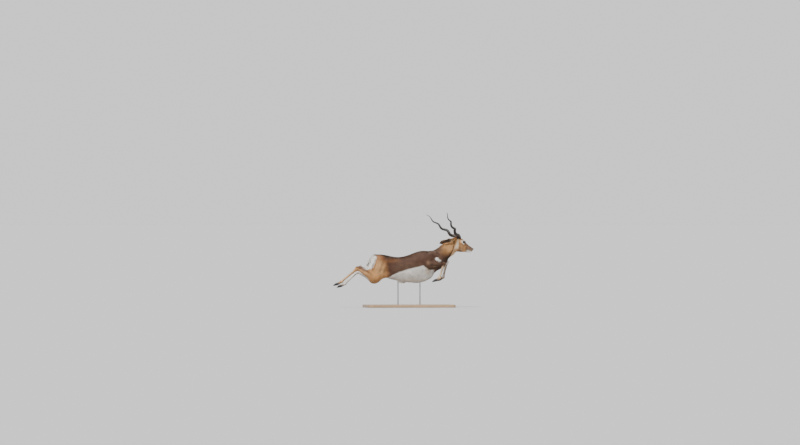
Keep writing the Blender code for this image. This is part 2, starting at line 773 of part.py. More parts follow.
def makeNeck():
    item = regionOf((0.28, -0.12, 0.38), (0.64, 0.18, 0.80), 0.0095, 1300, "neck", "coat", (trunk, head))
    cutters = [beforeCut("c1", "neckFoot", half), beyondCut("c2", "headFoot", half)]
    for word, side in (("right", -1), ("left", 1)):
        cutters.append(beyondCut("c3", "foreUpper_" + word, half))
        cutters.append(earSeat("c4", side))
    return cutBy(item, cutters)


def makeHead():
    item = regionOf((0.46, -0.12, 0.53), (0.80, 0.22, 0.80), 0.0042, 2900, "head", "coatPale", (trunk, head))
    cutters = [beforeCut("c1", "headFoot", half), mouthCutter()]
    for side in (-1, 1):
        cutters.append(blockAt("c2", hornFoot(side), frameAlong(hornStart(side)), (0.06, 0.07, 0.07),
                               (0.03 - half, 0.0, 0.0)))
        cutters.append(earSeat("c3", side))
        cutters.append(lidCutter(side))
        cutters.append(eyeBall("c4", side, eyeRadius + gap))
        cutters.append(nostrilCutter(side))
    return cutBy(item, cutters)


def makeLegNode(name, box, step, triangles, cutters, chosen):
    item = regionOf(box[0], box[1], step, triangles, name, "coat", chosen)
    return cutBy(item, cutters)


def bodySide(key):
    """A large block on the inner side of a leg's cut."""
    point, axes, size = cutPlanes[key]
    return blockAt("body side", point, axes, (0.5, 0.5, 0.6), (-0.25 + half, 0.0, 0.0))


def legBox(leg, joints, grow):
    places = np.array([leg[k] for k in joints])
    return places.min(axis=0) - grow, places.max(axis=0) + grow


def makeForeLeg(word, leg, group):
    makeLegNode("foreleg_upper_" + word, legBox(leg, ("elbow", "knee"), 0.045), 0.0062, 420,
                [bodySide("foreUpper_" + word), beyondCut("c2", "foreLower_" + word, half)], (group,))
    makeLegNode("foreleg_lower_" + word, legBox(leg, ("knee", "fetlock", "coronet"), 0.035), 0.0052, 520,
                [bodySide("foreLower_" + word), beyondCut("c2", "foreCoronet_" + word, half)], (group,))


def makeHindLeg(word, leg, group):
    side = -1 if word == "right" else 1
    low, high = (-0.20, 0.03) if side < 0 else (-0.03, 0.20)
    otherSide = blockAt("c3", (0.0, 0.0, 0.3), np.eye(3), (1.2, 0.30, 0.8), (0.0, (half - 0.15) * side, 0.0))
    makeLegNode("hindleg_upper_" + word, ((-0.56, low, 0.22), (-0.08, high, 0.50)), 0.0085, 1300,
                [rumpBlock(), beyondCut("c2", "hindLower_" + word, half), otherSide], (trunk, group))
    makeLegNode("hindleg_lower_" + word, legBox(leg, ("hock", "fetlock", "coronet"), 0.035), 0.0055, 560,
                [bodySide("hindLower_" + word), beyondCut("c2", "hindCoronet_" + word, half)], (group,))


# Sweeps

def sweep(path, sizes, sides, hint=(0.0, 1.0, 0.0), closedEnds=True):
    """A tube of oval sections along a path; sizes hold the two half widths at each point."""
    path = np.array(path, dtype=float)
    sizes = np.array(sizes, dtype=float)
    tangents = np.gradient(path, axis=0)
    angles = 2 * math.pi * np.arange(sides) / sides
    points = []
    across = unit(np.cross(tangents[0], hint))
    for place, tangent, (wide, tall) in zip(path, tangents, sizes):
        tangent = unit(tangent)
        across = unit(across - tangent * (across @ tangent))
        other = np.cross(tangent, across)
        for angle in angles:
            points.append(place + across * wide * math.cos(angle) + other * tall * math.sin(angle))
    faces = []
    for k in range(len(path) - 1):
        for j in range(sides):
            a = k * sides + j
            b = k * sides + (j + 1) % sides
            faces.append((a, b, b + sides, a + sides))
    if closedEnds:
        faces.append(tuple(range(sides - 1, -1, -1)))
        faces.append(tuple(range((len(path) - 1) * sides, len(path) * sides)))
    return points, faces


def cutterFrom(name, points, faces):
    item = objectFrom(name, points, faces)
    item.hide_render = True
    item.display_type = "WIRE"
    return largestOnly(item)


# Horns

def hornPath(side, t):
    """Centre line of one horn, a corkscrew round a straight axis; the two are mirror images."""
    foot = hornFoot(side)
    axis = unit(hornEnd(side) - foot)
    up = unit(headAxes[:, 2] - axis * (headAxes[:, 2] @ axis))
    out = np.cross(axis, up) * side
    turn = 2 * math.pi * hornTurns * t - 0.49
    swing = hornSwing * min(1.0, t / 0.12) * (1.0 - 0.45 * t)
    bow = up * (-4.0 * hornBow * t * (1.0 - t))
    return foot + axis * (hornLength * t) + bow + (up * math.cos(turn) + out * math.sin(turn)) * swing


def makeHorn(word, side):
    """Rings crowd together towards the tip, whose last stretch is smooth."""
    rings = 25
    stations = [0.0]
    for k in range(rings):
        place = 0.84 * (1.0 - (1.0 - (k + 1) / rings) ** 1.12)
        stations += [place - 0.011 + 0.004 * k / rings, place]
    stations += [0.88, 0.92, 0.96, 0.985, 1.0]
    path = []
    sizes = []
    for k, t in enumerate(stations):
        radius = hornBaseRadius + (hornTipRadius - hornBaseRadius) * t ** 1.15
        ring = 0.0011 * (1.0 - 0.6 * t) if k % 2 == 0 and 0 < k <= 2 * rings else 0.0
        path.append(hornPath(side, t))
        sizes.append((radius + ring - 0.0004, radius + ring - 0.0004))
    path[0] = hornFoot(side) + hornStart(side) * half
    points, faces = sweep(path, sizes, 8)
    item = objectFrom("horn_" + word, points, faces, "horn")
    seat = blockAt("c1", hornFoot(side), frameAlong(hornStart(side)), (0.05, 0.09, 0.09),
                   (-0.025 + half, 0.0, 0.0))
    return cutBy(item, [seat])


# Eyes, lids, nostrils and the line of the mouth

def eyeBall(name, side, radius, material=None):
    axes = eyeAxes(side)
    stacks, slices = 11, 18
    points = [eyePlace(side) - axes[:, 0] * radius]
    for k in range(1, stacks):
        angle = math.pi * k / stacks
        for j in range(slices):
            turn = 2 * math.pi * j / slices
            local = (-math.cos(angle), math.sin(angle) * math.cos(turn), math.sin(angle) * math.sin(turn))
            points.append(eyePlace(side) + axes @ (radius * np.array(local)))
    points.append(eyePlace(side) + axes[:, 0] * radius)
    last = len(points) - 1
    faces = []
    for j in range(slices):
        n = (j + 1) % slices
        faces.append((0, 1 + n, 1 + j))
        for k in range(stacks - 2):
            a = 1 + k * slices
            faces.append((a + j, a + n, a + slices + n, a + slices + j))
        faces.append((last, last - slices + j, last - slices + n))
    if material:
        item = objectFrom(name, points, faces, material)
        return largestOnly(item)
    return cutterFrom(name, points, faces)


# Half length and half height of the opening between the lids, at a distance of one from the eye's middle
lidOpening = (1.30, 0.76)
lidReach = 0.025


def lidCutter(side):
    """An almond cone from the middle of the eye that opens the lids."""
    axes = eyeAxes(side)
    points = [eyePlace(side) + axes @ np.array([0.001, 0.0, 0.0])]
    count = 14
    for k in range(count):
        angle = 2 * math.pi * k / count
        along = lidOpening[0] * math.cos(angle)
        up = lidOpening[1] * math.sin(angle) * (1.0 - 0.35 * abs(math.cos(angle))) - 0.10 * along + 0.05
        points.append(eyePlace(side) + axes @ (lidReach * np.array([1.0, along, up])))
    faces = [(0, 1 + (k + 1) % count, 1 + k) for k in range(count)]
    faces.append(tuple(range(1, count + 1)))
    return cutterFrom("lids", points, faces)


def nostrilCutter(side):
    start = onHead(0.246, 0.0100 * side, -0.029)
    end = onHead(0.226, 0.0190 * side, -0.020)
    path = [start + (end - start) * t + headAxes @ np.array([0.0, 0.002 * side * math.sin(math.pi * t), 0.0])
            for t in (0.0, 0.35, 0.7, 1.0)]
    sizes = [(0.0030, 0.0030), (0.0036, 0.0036), (0.0030, 0.0030), (0.0008, 0.0008)]
    return cutterFrom("nostril", *sweep(path, sizes, 6, (0, 0, 1)))


def mouthCutter():
    """A thin groove round the muzzle between the lips."""
    places = [(0.140, 0.032, -0.061), (0.160, 0.0285, -0.0585), (0.185, 0.0255, -0.056),
              (0.210, 0.0245, -0.055), (0.228, 0.0215, -0.054), (0.240, 0.0145, -0.0535),
              (0.2445, 0.0, -0.0535)]
    run = places + [(a, -b, c) for a, b, c in reversed(places[:-1])]
    path = [onHead(*p) for p in run]
    sizes = [(0.0013, 0.0030)] * len(path)
    return cutterFrom("mouth", *sweep(path, sizes, 5, tuple(headAxes[:, 2])))


# Ears

# Share of the length with the share of the full width there, and with the half angle of the roll there
earWidths = [(0.0, 0.66), (0.15, 0.72), (0.40, 0.94), (0.58, 0.98), (0.78, 0.78), (0.92, 0.40), (1.0, 0.06)]
earRolls = [(0.0, 2.35), (0.15, 1.95), (0.40, 1.35), (0.60, 1.05), (0.80, 0.85), (1.0, 0.5)]
earBow = 0.010


def makeEar(word, side):
    """A cupped leaf, a tube at its root, rolled less and less towards the tip."""
    axis = earLie(side)
    opening = unit(headAxes[:, 1] * side * 0.92 + np.array([0.0, 0.0, -0.25]))
    opening = unit(opening - axis * (opening @ axis))
    across = np.cross(opening, axis)
    widths = smoothRows(earWidths)
    rolls = smoothRows(earRolls)
    rows, columns = 11, 8
    outer = []
    inner = []
    for i in range(rows + 1):
        t = 1.0 - (1.0 - i / rows) ** 1.15
        roll = float(np.interp(t, rolls[:, 0], rolls[:, 1]))
        radius = 0.5 * earWidth * float(np.interp(t, widths[:, 0], widths[:, 1])) / roll
        wall = earWall * (1.0 - 0.43 * t)
        tube = earTubeRadius * (1.0 - t)
        middle = earFoot(side) + axis * (half + earLength * t) + opening * (tube - earBow * t * t)
        for j in range(columns + 1):
            angle = roll * (2.0 * j / columns - 1.0)
            for grid, r in ((outer, radius), (inner, max(radius - wall, 0.0004))):
                grid.append(middle + across * r * math.sin(angle)
                            - opening * (r * math.cos(angle) - 0.6 * (radius - tube)))
    count = (rows + 1) * (columns + 1)
    points = outer + inner
    faces = []
    wide = columns + 1
    for i in range(rows):
        for j in range(columns):
            a = i * wide + j
            quad = (a, a + 1, a + 1 + wide, a + wide)
            for tri in ((quad[0], quad[1], quad[2]), (quad[0], quad[2], quad[3])):
                faces.append(tri)
                faces.append(tuple(v + count for v in reversed(tri)))
    rim = [i * wide for i in range(rows + 1)] + [rows * wide + j for j in range(1, wide)]
    rim += [i * wide + columns for i in range(rows - 1, -1, -1)] + list(range(columns - 1, 0, -1))
    for k, a in enumerate(rim):
        b = rim[(k + 1) % len(rim)]
        faces.append((a, b, b + count))
        faces.append((a, b + count, a + count))
    item = objectFrom("ear_" + word, points, faces, "coat")
    return largestOnly(item)


# Tail

tailPlaces = [tailRoot - tailAxes[:, 0] * 0.003, (-0.370, 0.0, 0.481), (-0.386, 0.002, 0.450),
              (-0.394, 0.004, 0.420), (-0.397, 0.005, 0.400)]
tailTable = smoothRows([(k / 4, *place) for k, place in enumerate(tailPlaces)])
tailRootRadius = 0.0155
tailTipRadius = 0.004
lockCount = 14
lockLength = 0.046
# Share of a lock's length with its half width there
lockWidths = ((0.0, 0.0045), (0.3, 0.0065), (0.65, 0.0050), (1.0, 0.0012))
lockSeed = 5


def tailAt(t):
    return np.array([np.interp(t, tailTable[:, 0], tailTable[:, c]) for c in (1, 2, 3)])


def makeTail():
    """A core with flat tapered locks down both sides and off the tip."""
    steps = np.linspace(0.0, 1.0, 8)
    core = [(tailRootRadius, tailRootRadius)]
    core += [(0.0115 * (1 - t) + tailTipRadius, 0.013 * (1 - t) + tailTipRadius) for t in steps[1:]]
    pieces = [objectFrom("tail", *sweep([tailAt(t) for t in steps], core, 8), "coatDark")]
    draw = np.random.default_rng(lockSeed)
    for k in range(lockCount):
        t = 0.24 + 0.70 * (k // 2) / 6 if k < lockCount - 2 else 0.97
        side = 1 if k % 2 else -1
        root = tailAt(t) + np.array([0.002, 0.004 * side, 0.0])
        down = unit(tailAt(min(t + 0.1, 1.0)) - tailAt(t - 0.1))
        out = np.array([-0.10, (0.34 - 0.22 * t) * side + draw.normal(0, 0.04), 0.0])
        length = lockLength * (1.0 - 0.25 * t) * draw.uniform(0.9, 1.1)
        path = []
        sizes = []
        for s, wide in lockWidths:
            bend = out * (s - 0.45 * s * s)
            path.append(root + unit(down + bend) * length * s)
            sizes.append((0.0010 + 0.0016 * (1 - s), wide))
        pieces.append(objectFrom("lock", *sweep(path, sizes, 5, (1, 0, 0))))
    seat = blockAt("c1", tailRoot, tailAxes, (0.04, 0.07, 0.07), (-0.02 + half, 0.0, 0.0))
    return cutBy(unionOf(pieces), [seat])


def unionOf(pieces):
    """One closed body from overlapping pieces; the first gives name and material."""
    body = pieces[0]
    group = bpy.data.collections.new("parts")
    bpy.context.scene.collection.children.link(group)
    for piece in pieces[1:]:
        group.objects.link(piece)
    modifier = body.modifiers.new("join", "BOOLEAN")
    modifier.operation = "UNION"
    modifier.solver = "MANIFOLD"
    modifier.operand_type = "COLLECTION"
    modifier.collection = group
    bpy.context.view_layer.update()
    applied(body)
    for piece in pieces[1:]:
        bpy.data.objects.remove(piece, do_unlink=True)
    bpy.data.collections.remove(group)
    return largestOnly(body)


# Hooves

# Share of a claw's length with its lower line, upper line and width there
clawRows = [
    (0.00, -0.0125, 0.0125, 0.0130),
    (0.18, -0.0128, 0.0150, 0.0135),
    (0.39, -0.0118, 0.0142, 0.0130),
    (0.64, -0.0098, 0.0092, 0.0110),
    (0.86, -0.0070, 0.0030, 0.0075),
    (1.00, -0.0045, -0.0018, 0.0030),
]
clawRounds = [math.radians(a) for a in (60, 30, 0, -30, -60)]


def makeClaw(name, leg, side):
    """One claw: flat towards its twin, round outside, its sole turned up behind."""
    coronet = np.array(leg["coronet"])
    axes = frameAlong(np.array(leg["tip"]) - coronet)
    if axes[2, 2] < 0:
        axes[:, 1:] *= -1
    side *= math.copysign(1, axes[1, 1])
    points = []
    for share, low, high, wide in clawRows:
        middle, tall = 0.5 * (low + high), 0.5 * (high - low)
        ring = [(hoofSplit, high)]
        for angle in clawRounds:
            ring.append((hoofSplit + wide * math.cos(angle) ** 0.8, middle + tall * math.sin(angle)))
        ring += [(hoofSplit, low), (hoofSplit, middle)]
        for across, up in ring:
            points.append(coronet + axes @ np.array([share * hoofLength + half, across * side, up]))
    count = len(clawRounds) + 3
    faces = []
    for k in range(len(clawRows) - 1):
        for j in range(count):
            a, b = k * count + j, k * count + (j + 1) % count
            faces.append((a, b, b + count, a + count))
    faces.append(tuple(range(count)))
    faces.append(tuple(range(len(points) - 1, len(points) - count - 1, -1)))
    item = objectFrom(name, points, faces, "hoof")
    return largestOnly(item)


# Stand

def rodObject(name, place, radius, bottom, top, material=None, sides=20):
    angles = 2 * math.pi * (np.arange(sides) + 0.5) / sides
    ring = np.column_stack([place[0] + radius * np.cos(angles), place[1] + radius * np.sin(angles)])
    points = [(x, y, bottom) for x, y in ring] + [(x, y, top) for x, y in ring]
    faces = [(i, (i + 1) % sides, sides + (i + 1) % sides, sides + i) for i in range(sides)]
    faces.append(tuple(range(sides - 1, -1, -1)))
    faces.append(tuple(range(sides, 2 * sides)))
    return largestOnly(objectFrom(name, points, faces, material))


def bellyAt(place):
    """Height of the belly over a rod."""
    z = np.linspace(0.2, 0.45, 1001)
    line = np.column_stack([np.full_like(z, place[0]), np.full_like(z, place[1]), z])
    return float(z[np.argmax(flesh(line) < 0)])


def socketCutter(place):
    cutter = rodObject("socket", place, rodRadius + gap, 0.10, bellyAt(place) + rodInset + gap)
    cutter.hide_render = True
    cutter.display_type = "WIRE"
    return cutter


def makeStand():
    length, depth, height = baseSize
    rings = []
    for inset, z in ((baseEdge, 0.0), (0.0, baseEdge), (0.0, height - baseEdge), (baseEdge, height)):
        ring = []
        round_ = baseCorner - inset
        for sx, sy, turn in ((1, 1, 0), (-1, 1, 90), (-1, -1, 180), (1, -1, 270)):
            x = basePlace[0] + sx * (0.5 * length - baseCorner)
            y = basePlace[1] + sy * (0.5 * depth - baseCorner)
            for k in range(6):
                angle = math.radians(turn + 18 * k)
                ring.append((x + round_ * math.cos(angle), y + round_ * math.sin(angle), z))
        rings.append(ring)
    count = len(rings[0])
    points = [p for ring in rings for p in ring]
    faces = []
    for k in range(len(rings) - 1):
        for j in range(count):
            a, b = k * count + j, k * count + (j + 1) % count
            faces.append((a, b, b + count, a + count))
    faces.append(tuple(range(count - 1, -1, -1)))
    faces.append(tuple(range(len(points) - count, len(points))))
    largestOnly(objectFrom("stand_base", points, faces, "standWood"))
    for name, place in rodPlaces.items():
        rodObject(name, place, rodRadius, height + gap, bellyAt(place) + rodInset, "standSteel")


def centreModel():
    """The origin goes to the middle of the box's floor face."""
    low = np.full(3, 9.0)
    high = -low
    for item in bpy.data.objects:
        corners = np.array([v.co for v in item.data.vertices])
        low = np.minimum(low, corners.min(axis=0))
        high = np.maximum(high, corners.max(axis=0))
    move = Matrix.Translation((-0.5 * (low[0] + high[0]), -0.5 * (low[1] + high[1]), 0.0))
    for item in bpy.data.objects:
        item.data.transform(move)


def build():
    clearScene()
    makeTorso()
    makeNeck()
    makeHead()
    for word, side, fore, hind in (("right", -1, foreRight, hindRight), ("left", 1, foreLeft, hindLeft)):
        makeForeLeg(word, fore, legForeRight if side < 0 else legForeLeft)
        makeHindLeg(word, hind, legHindRight if side < 0 else legHindLeft)
        makeHorn(word, side)
        makeEar(word, side)
        eyeBall("eye_" + word, side, eyeRadius, "eye")
        for limb, leg in (("fore", fore), ("hind", hind)):
            makeClaw("hoof_" + limb + "_" + word + "_inner", leg, -side)
            makeClaw("hoof_" + limb + "_" + word + "_outer", leg, side)
    makeTail()
    makeStand()
    centreModel()


build()
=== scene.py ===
import math
from itertools import product

import bmesh
import bpy
import numpy as np
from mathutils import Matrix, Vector
from mathutils.bvhtree import BVHTree


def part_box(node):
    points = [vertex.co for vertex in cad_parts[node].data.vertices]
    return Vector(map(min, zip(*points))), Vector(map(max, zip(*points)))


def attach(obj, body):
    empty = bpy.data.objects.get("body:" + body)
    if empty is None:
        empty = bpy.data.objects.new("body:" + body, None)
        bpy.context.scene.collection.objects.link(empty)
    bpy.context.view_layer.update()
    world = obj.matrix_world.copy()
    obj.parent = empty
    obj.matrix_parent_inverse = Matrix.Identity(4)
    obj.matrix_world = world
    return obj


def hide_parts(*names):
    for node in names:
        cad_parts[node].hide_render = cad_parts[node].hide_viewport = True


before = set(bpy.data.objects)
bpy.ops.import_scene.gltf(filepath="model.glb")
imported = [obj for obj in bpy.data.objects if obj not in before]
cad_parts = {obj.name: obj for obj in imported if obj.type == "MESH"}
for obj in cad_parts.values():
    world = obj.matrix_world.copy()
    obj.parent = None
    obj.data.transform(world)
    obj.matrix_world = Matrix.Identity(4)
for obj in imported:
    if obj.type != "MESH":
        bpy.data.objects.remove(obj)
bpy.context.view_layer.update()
print("frame loaded:", len(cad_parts), "nodes")

# The animal's own sizes, in metres, as in the solids
animal = {
    "hornLength": 0.395, "hornTurns": 3.4, "hornBaseRadius": 0.0175, "hornTipRadius": 0.0026,
    "hornSwing": 0.0105, "hornBow": 0.013, "eyeRadius": 0.0150, "lidThickness": 0.0026,
    "earLength": 0.132, "baseMiddle": 0.053,
}
neckFoot = np.array((0.335, 0.0, 0.512))
neckTurn = (math.radians(9.5), math.radians(36.0))
headPoll = np.array((0.545, 0.036, 0.716))
headTurn = (math.radians(19.0), math.radians(-22.0))
headRoll = math.radians(3.0)
earTurn = {-1: (math.radians(8.0), math.radians(-15.0)), 1: (math.radians(-6.0), math.radians(-20.0))}


def legPlaces(names, *rows):
    return {name: np.array(row) for name, row in zip(names, rows)}


foreNames = ("shoulder", "elbow", "knee", "fetlock", "coronet", "tip")
hindNames = ("hip", "stifle", "hock", "heel", "fetlock", "coronet", "tip")
foreRight = legPlaces(foreNames, (0.368, -0.066, 0.492), (0.248, -0.092, 0.446), (0.404, -0.094, 0.455),
                      (0.362, -0.080, 0.309), (0.333, -0.078, 0.287), (0.283, -0.078, 0.270))
foreLeft = legPlaces(foreNames, (0.380, 0.068, 0.492), (0.290, 0.094, 0.446), (0.468, 0.092, 0.469),
                     (0.429, 0.078, 0.315), (0.399, 0.075, 0.293), (0.351, 0.075, 0.277))
hindRight = legPlaces(hindNames, (-0.262, -0.062, 0.468), (-0.326, -0.098, 0.309), (-0.506, -0.074, 0.406),
                      (-0.470, -0.076, 0.428), (-0.668, -0.062, 0.272), (-0.706, -0.061, 0.248),
                      (-0.759, -0.061, 0.231))
hindLeft = legPlaces(hindNames, (-0.250, 0.062, 0.468), (-0.300, 0.098, 0.303), (-0.483, 0.070, 0.372),
                     (-0.449, 0.072, 0.396), (-0.614, 0.058, 0.249), (-0.650, 0.057, 0.227),
                     (-0.702, 0.057, 0.211))
legs = (foreRight, foreLeft, hindRight, hindLeft)
sides = {"right": -1, "left": 1}

low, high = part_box("stand_base")
shift = np.array([0.5 * (low[0] + high[0]) - animal["baseMiddle"], 0.5 * (low[1] + high[1]), 0.0])


def unit(vector):
    vector = np.asarray(vector, dtype=float)
    return vector / np.linalg.norm(vector)


def units(rows):
    return rows / np.maximum(np.linalg.norm(rows, axis=1), 1e-12)[:, None]


def turned(yaw, pitch):  # columns: forward, left and up of a body that looks along yaw and pitch
    forward = np.array([math.cos(yaw) * math.cos(pitch), math.sin(yaw) * math.cos(pitch), math.sin(pitch)])
    left = np.array([-math.sin(yaw), math.cos(yaw), 0.0])
    return np.column_stack([forward, left, np.cross(forward, left)])


def rolled(axes, angle):  # the same frame with its left side lowered
    forward, left, up = axes.T
    return np.column_stack([forward, left * math.cos(angle) - up * math.sin(angle),
                            up * math.cos(angle) + left * math.sin(angle)])


def frameAlong(direction, hint=(0.0, 1.0, 0.0)):
    forward = unit(direction)
    up = unit(np.cross(forward, hint))
    return np.column_stack([forward, np.cross(up, forward), up])


headAxes = rolled(turned(*headTurn), headRoll)
neckAxes = turned(*neckTurn)


def onHead(along, side, up):
    return headPoll + headAxes @ np.array([along, side, up])


def onNeck(along, side, up):
    return neckFoot + neckAxes @ np.array([along, side, up])


def inHead(points):  # along, side and up of each point, in the frame of the head
    return ((points - headPoll) @ headAxes).T


def inNeck(points):
    return ((points - neckFoot) @ neckAxes).T


def rise(value, edge, soft):  # from none to all, centred on the edge
    t = np.clip((value - edge) / soft + 0.5, 0.0, 1.0)
    return t * t * (3.0 - 2.0 * t)


def fade(value, edge, soft):
    return 1.0 - rise(value, edge, soft)


# Distance forms, negative inside, the same ones as in the solids

def smoothUnion(a, b, blend):
    reach = np.maximum(blend - np.abs(a - b), 0.0) / blend
    return np.minimum(a, b) - reach * reach * blend * 0.25


def smoothCut(a, b, blend):
    return -smoothUnion(-a, b, blend)


def smoothRows(rows, count=160):
    rows = np.array(rows, dtype=float)
    s = rows[:, 0]
    fine = np.linspace(s[0], s[-1], count)
    span = np.clip(np.searchsorted(s, fine, side="right") - 1, 0, len(s) - 2)
    t = ((fine - s[span]) / (s[span + 1] - s[span]))[:, None]
    width = (s[span + 1] - s[span])[:, None]
    slopes = np.gradient(rows[:, 1:], s, axis=0)
    here, there = rows[span, 1:], rows[span + 1, 1:]
    shape = (here * (2 * t ** 3 - 3 * t ** 2 + 1) + there * (3 * t ** 2 - 2 * t ** 3)
             + slopes[span] * width * (t ** 3 - 2 * t ** 2 + t) + slopes[span + 1] * width * (t ** 3 - t ** 2))
    return np.column_stack([fine, shape])


def loft(origin, axes, rows, caps, blend):  # superellipse sections: along, up, down, half width, roundness, shift
    table = smoothRows(rows)
    origin = np.array(origin, dtype=float)
    first, last = table[0, 0], table[-1, 0]

    def distance(points):
        local = (points - origin) @ axes
        along = np.clip(local[:, 0], first + 1e-4, last - 1e-4)
        up, down, half, power, side = (np.interp(along, table[:, 0], table[:, k]) for k in range(1, 6))
        early = np.clip((first + caps[0] - along) / caps[0], 0.0, 1.0)
        late = np.clip((along - last + caps[1]) / caps[1], 0.0, 1.0)
        taper = np.sqrt(np.maximum(1.0 - np.maximum(early, late) ** 2, 1e-3))
        tall = 0.5 * (up - down) * taper
        wide = half * taper
        a = np.maximum(np.abs(local[:, 2] - 0.5 * (up + down)) / tall, 1e-6)
        b = np.maximum(np.abs(local[:, 1] - side) / wide, 1e-6)
        radius = (a ** power + b ** power) ** (1.0 / power)
        slope = np.hypot(a ** (power - 1) / tall, b ** (power - 1) / wide) * radius ** (1 - power)
        inside = (radius - 1.0) / np.maximum(slope, 1.0)
        beyond = np.abs(local[:, 0] - along)
        return np.where(beyond > 2e-4, np.hypot(np.maximum(inside, 0.0), beyond), inside)

    middle = origin + axes @ np.array([0.5 * (first + last), 0.0, 0.0])
    reach = 0.5 * (last - first) + np.max(np.abs(table[:, 1:4]))
    return {"distance": distance, "low": middle - reach, "high": middle + reach, "blend": blend}


def bone(start, end, startRadius, endRadius, blend, flat=1.0, side=(0.0, 1.0, 0.0), cut=False):
    start, end, side = np.array(start, dtype=float), np.array(end, dtype=float), unit(side)
    run = end - start

    def distance(points):
        offset = points - start
        t = np.clip(offset @ run / (run @ run), 0.0, 1.0)
        rest = offset - t[:, None] * run
        rest = rest + side * ((rest @ side) * (1.0 / flat - 1.0))[:, None]
        smooth = t * t * (3 - 2 * t)
        return np.linalg.norm(rest, axis=1) - (startRadius + (endRadius - startRadius) * smooth)

    reach = max(startRadius, endRadius)
    return {"distance": distance, "low": np.minimum(start, end) - reach,
            "high": np.maximum(start, end) + reach, "blend": blend, "cut": cut, "path": (start, end)}


def lump(centre, radii, blend, yaw=0.0, pitch=0.0, axes=None, cut=False):  # radii along, across and up
    centre, radii = np.array(centre, dtype=float), np.array(radii, dtype=float)
    axes = turned(yaw, pitch) if axes is None else axes

    def distance(points):
        local = (points - centre) @ axes
        k0 = np.linalg.norm(local / radii, axis=1)
        k1 = np.linalg.norm(local / radii ** 2, axis=1)
        return np.where(k0 < 1e-6, -radii.min(), k0 * (k0 - 1.0) / np.maximum(k1, 1e-9))

    reach = radii.max()
    return {"distance": distance, "low": centre - reach, "high": centre + reach, "blend": blend, "cut": cut}


def trunkForms():
    # along, back line, belly line, half width, roundness, side shift
    body = [
        (-0.372, 0.478, 0.425, 0.040, 2.0, 0.0), (-0.330, 0.536, 0.385, 0.074, 2.0, 0.0),
        (-0.275, 0.552, 0.352, 0.094, 2.1, 0.0), (-0.200, 0.547, 0.318, 0.098, 2.2, 0.0),
        (-0.137, 0.534, 0.296, 0.094, 2.2, 0.0), (-0.070, 0.525, 0.281, 0.098, 2.2, 0.0),
        (-0.005, 0.532, 0.268, 0.106, 2.2, 0.0), (0.055, 0.549, 0.262, 0.112, 2.15, 0.0),
        (0.116, 0.573, 0.264, 0.111, 2.1, 0.0), (0.180, 0.590, 0.276, 0.104, 2.0, 0.0),
        (0.243, 0.589, 0.306, 0.090, 2.0, 0.0), (0.306, 0.578, 0.352, 0.072, 2.0, 0.0),
        (0.370, 0.560, 0.402, 0.055, 2.0, 0.0), (0.430, 0.535, 0.448, 0.040, 2.0, 0.004),
    ]
    neck = [
        (-0.070, 0.060, -0.105, 0.062, 2.0, 0.0), (0.000, 0.074, -0.104, 0.068, 2.0, 0.0),
        (0.050, 0.075, -0.094, 0.066, 2.0, 0.0), (0.100, 0.073, -0.087, 0.060, 2.0, 0.0),
        (0.150, 0.072, -0.086, 0.055, 2.0, 0.0), (0.200, 0.069, -0.089, 0.052, 2.0, 0.0),
        (0.250, 0.060, -0.088, 0.050, 2.0, 0.002), (0.300, 0.042, -0.070, 0.044, 2.0, 0.004),
    ]
    forms = [loft((0, 0, 0), np.eye(3), body, (0.030, 0.045), 0.02),
             loft(neckFoot, neckAxes, neck, (0.050, 0.040), 0.050)]
    for side, fore, hind in ((-1, foreRight, hindRight), (1, foreLeft, hindLeft)):
        hip, stifle = hind["hip"], hind["stifle"]
        forms += [
            # shoulder blade, breast muscle and upper arm
            lump((0.262, 0.068 * side, 0.512), (0.095, 0.032, 0.060), 0.030, 0.06 * side, 0.85),
            lump((0.325, 0.060 * side, 0.505), (0.072, 0.030, 0.040), 0.030, 0.0, 0.45),
            bone(fore["shoulder"], fore["elbow"], 0.036, 0.032, 0.030, 0.85),
            # point of the hip, rump and thigh
            lump((-0.175, 0.062 * side, 0.505), (0.042, 0.026, 0.026), 0.030),
            lump((-0.280, 0.062 * side, 0.468), (0.078, 0.046, 0.080), 0.035),
            lump(0.5 * (hip + stifle) + (-0.022, 0.006 * side, -0.012), (0.085, 0.046, 0.100), 0.040, 0.0, 0.10),
            bone(hip, stifle, 0.060, 0.045, 0.035, 0.75),
            lump(stifle + (0.010, 0.0, 0.010), (0.042, 0.034, 0.040), 0.030),
            # fold of skin from the stifle to the flank
            bone(stifle + (0.030, 0.002 * side, 0.020), (-0.140, 0.066 * side, 0.335), 0.030, 0.020, 0.040, 0.7),
        ]
    # breast, brisket, the hollow before each thigh, navel and root of the tail
    return forms + [
        lump((0.405, 0.004, 0.488), (0.045, 0.040, 0.050), 0.030),
        lump((0.200, 0.0, 0.315), (0.110, 0.055, 0.042), 0.035, 0.0, 0.28),
        lump((-0.128, -0.135, 0.462), (0.050, 0.034, 0.060), 0.040, cut=True),
        lump((-0.128, 0.135, 0.462), (0.050, 0.034, 0.060), 0.040, cut=True),
        bone((-0.045, 0.0, 0.275), (0.000, 0.0, 0.262), 0.016, 0.012, 0.020),
        bone((-0.312, 0.0, 0.527), (-0.350, 0.0, 0.506), 0.022, 0.016, 0.025),
    ]


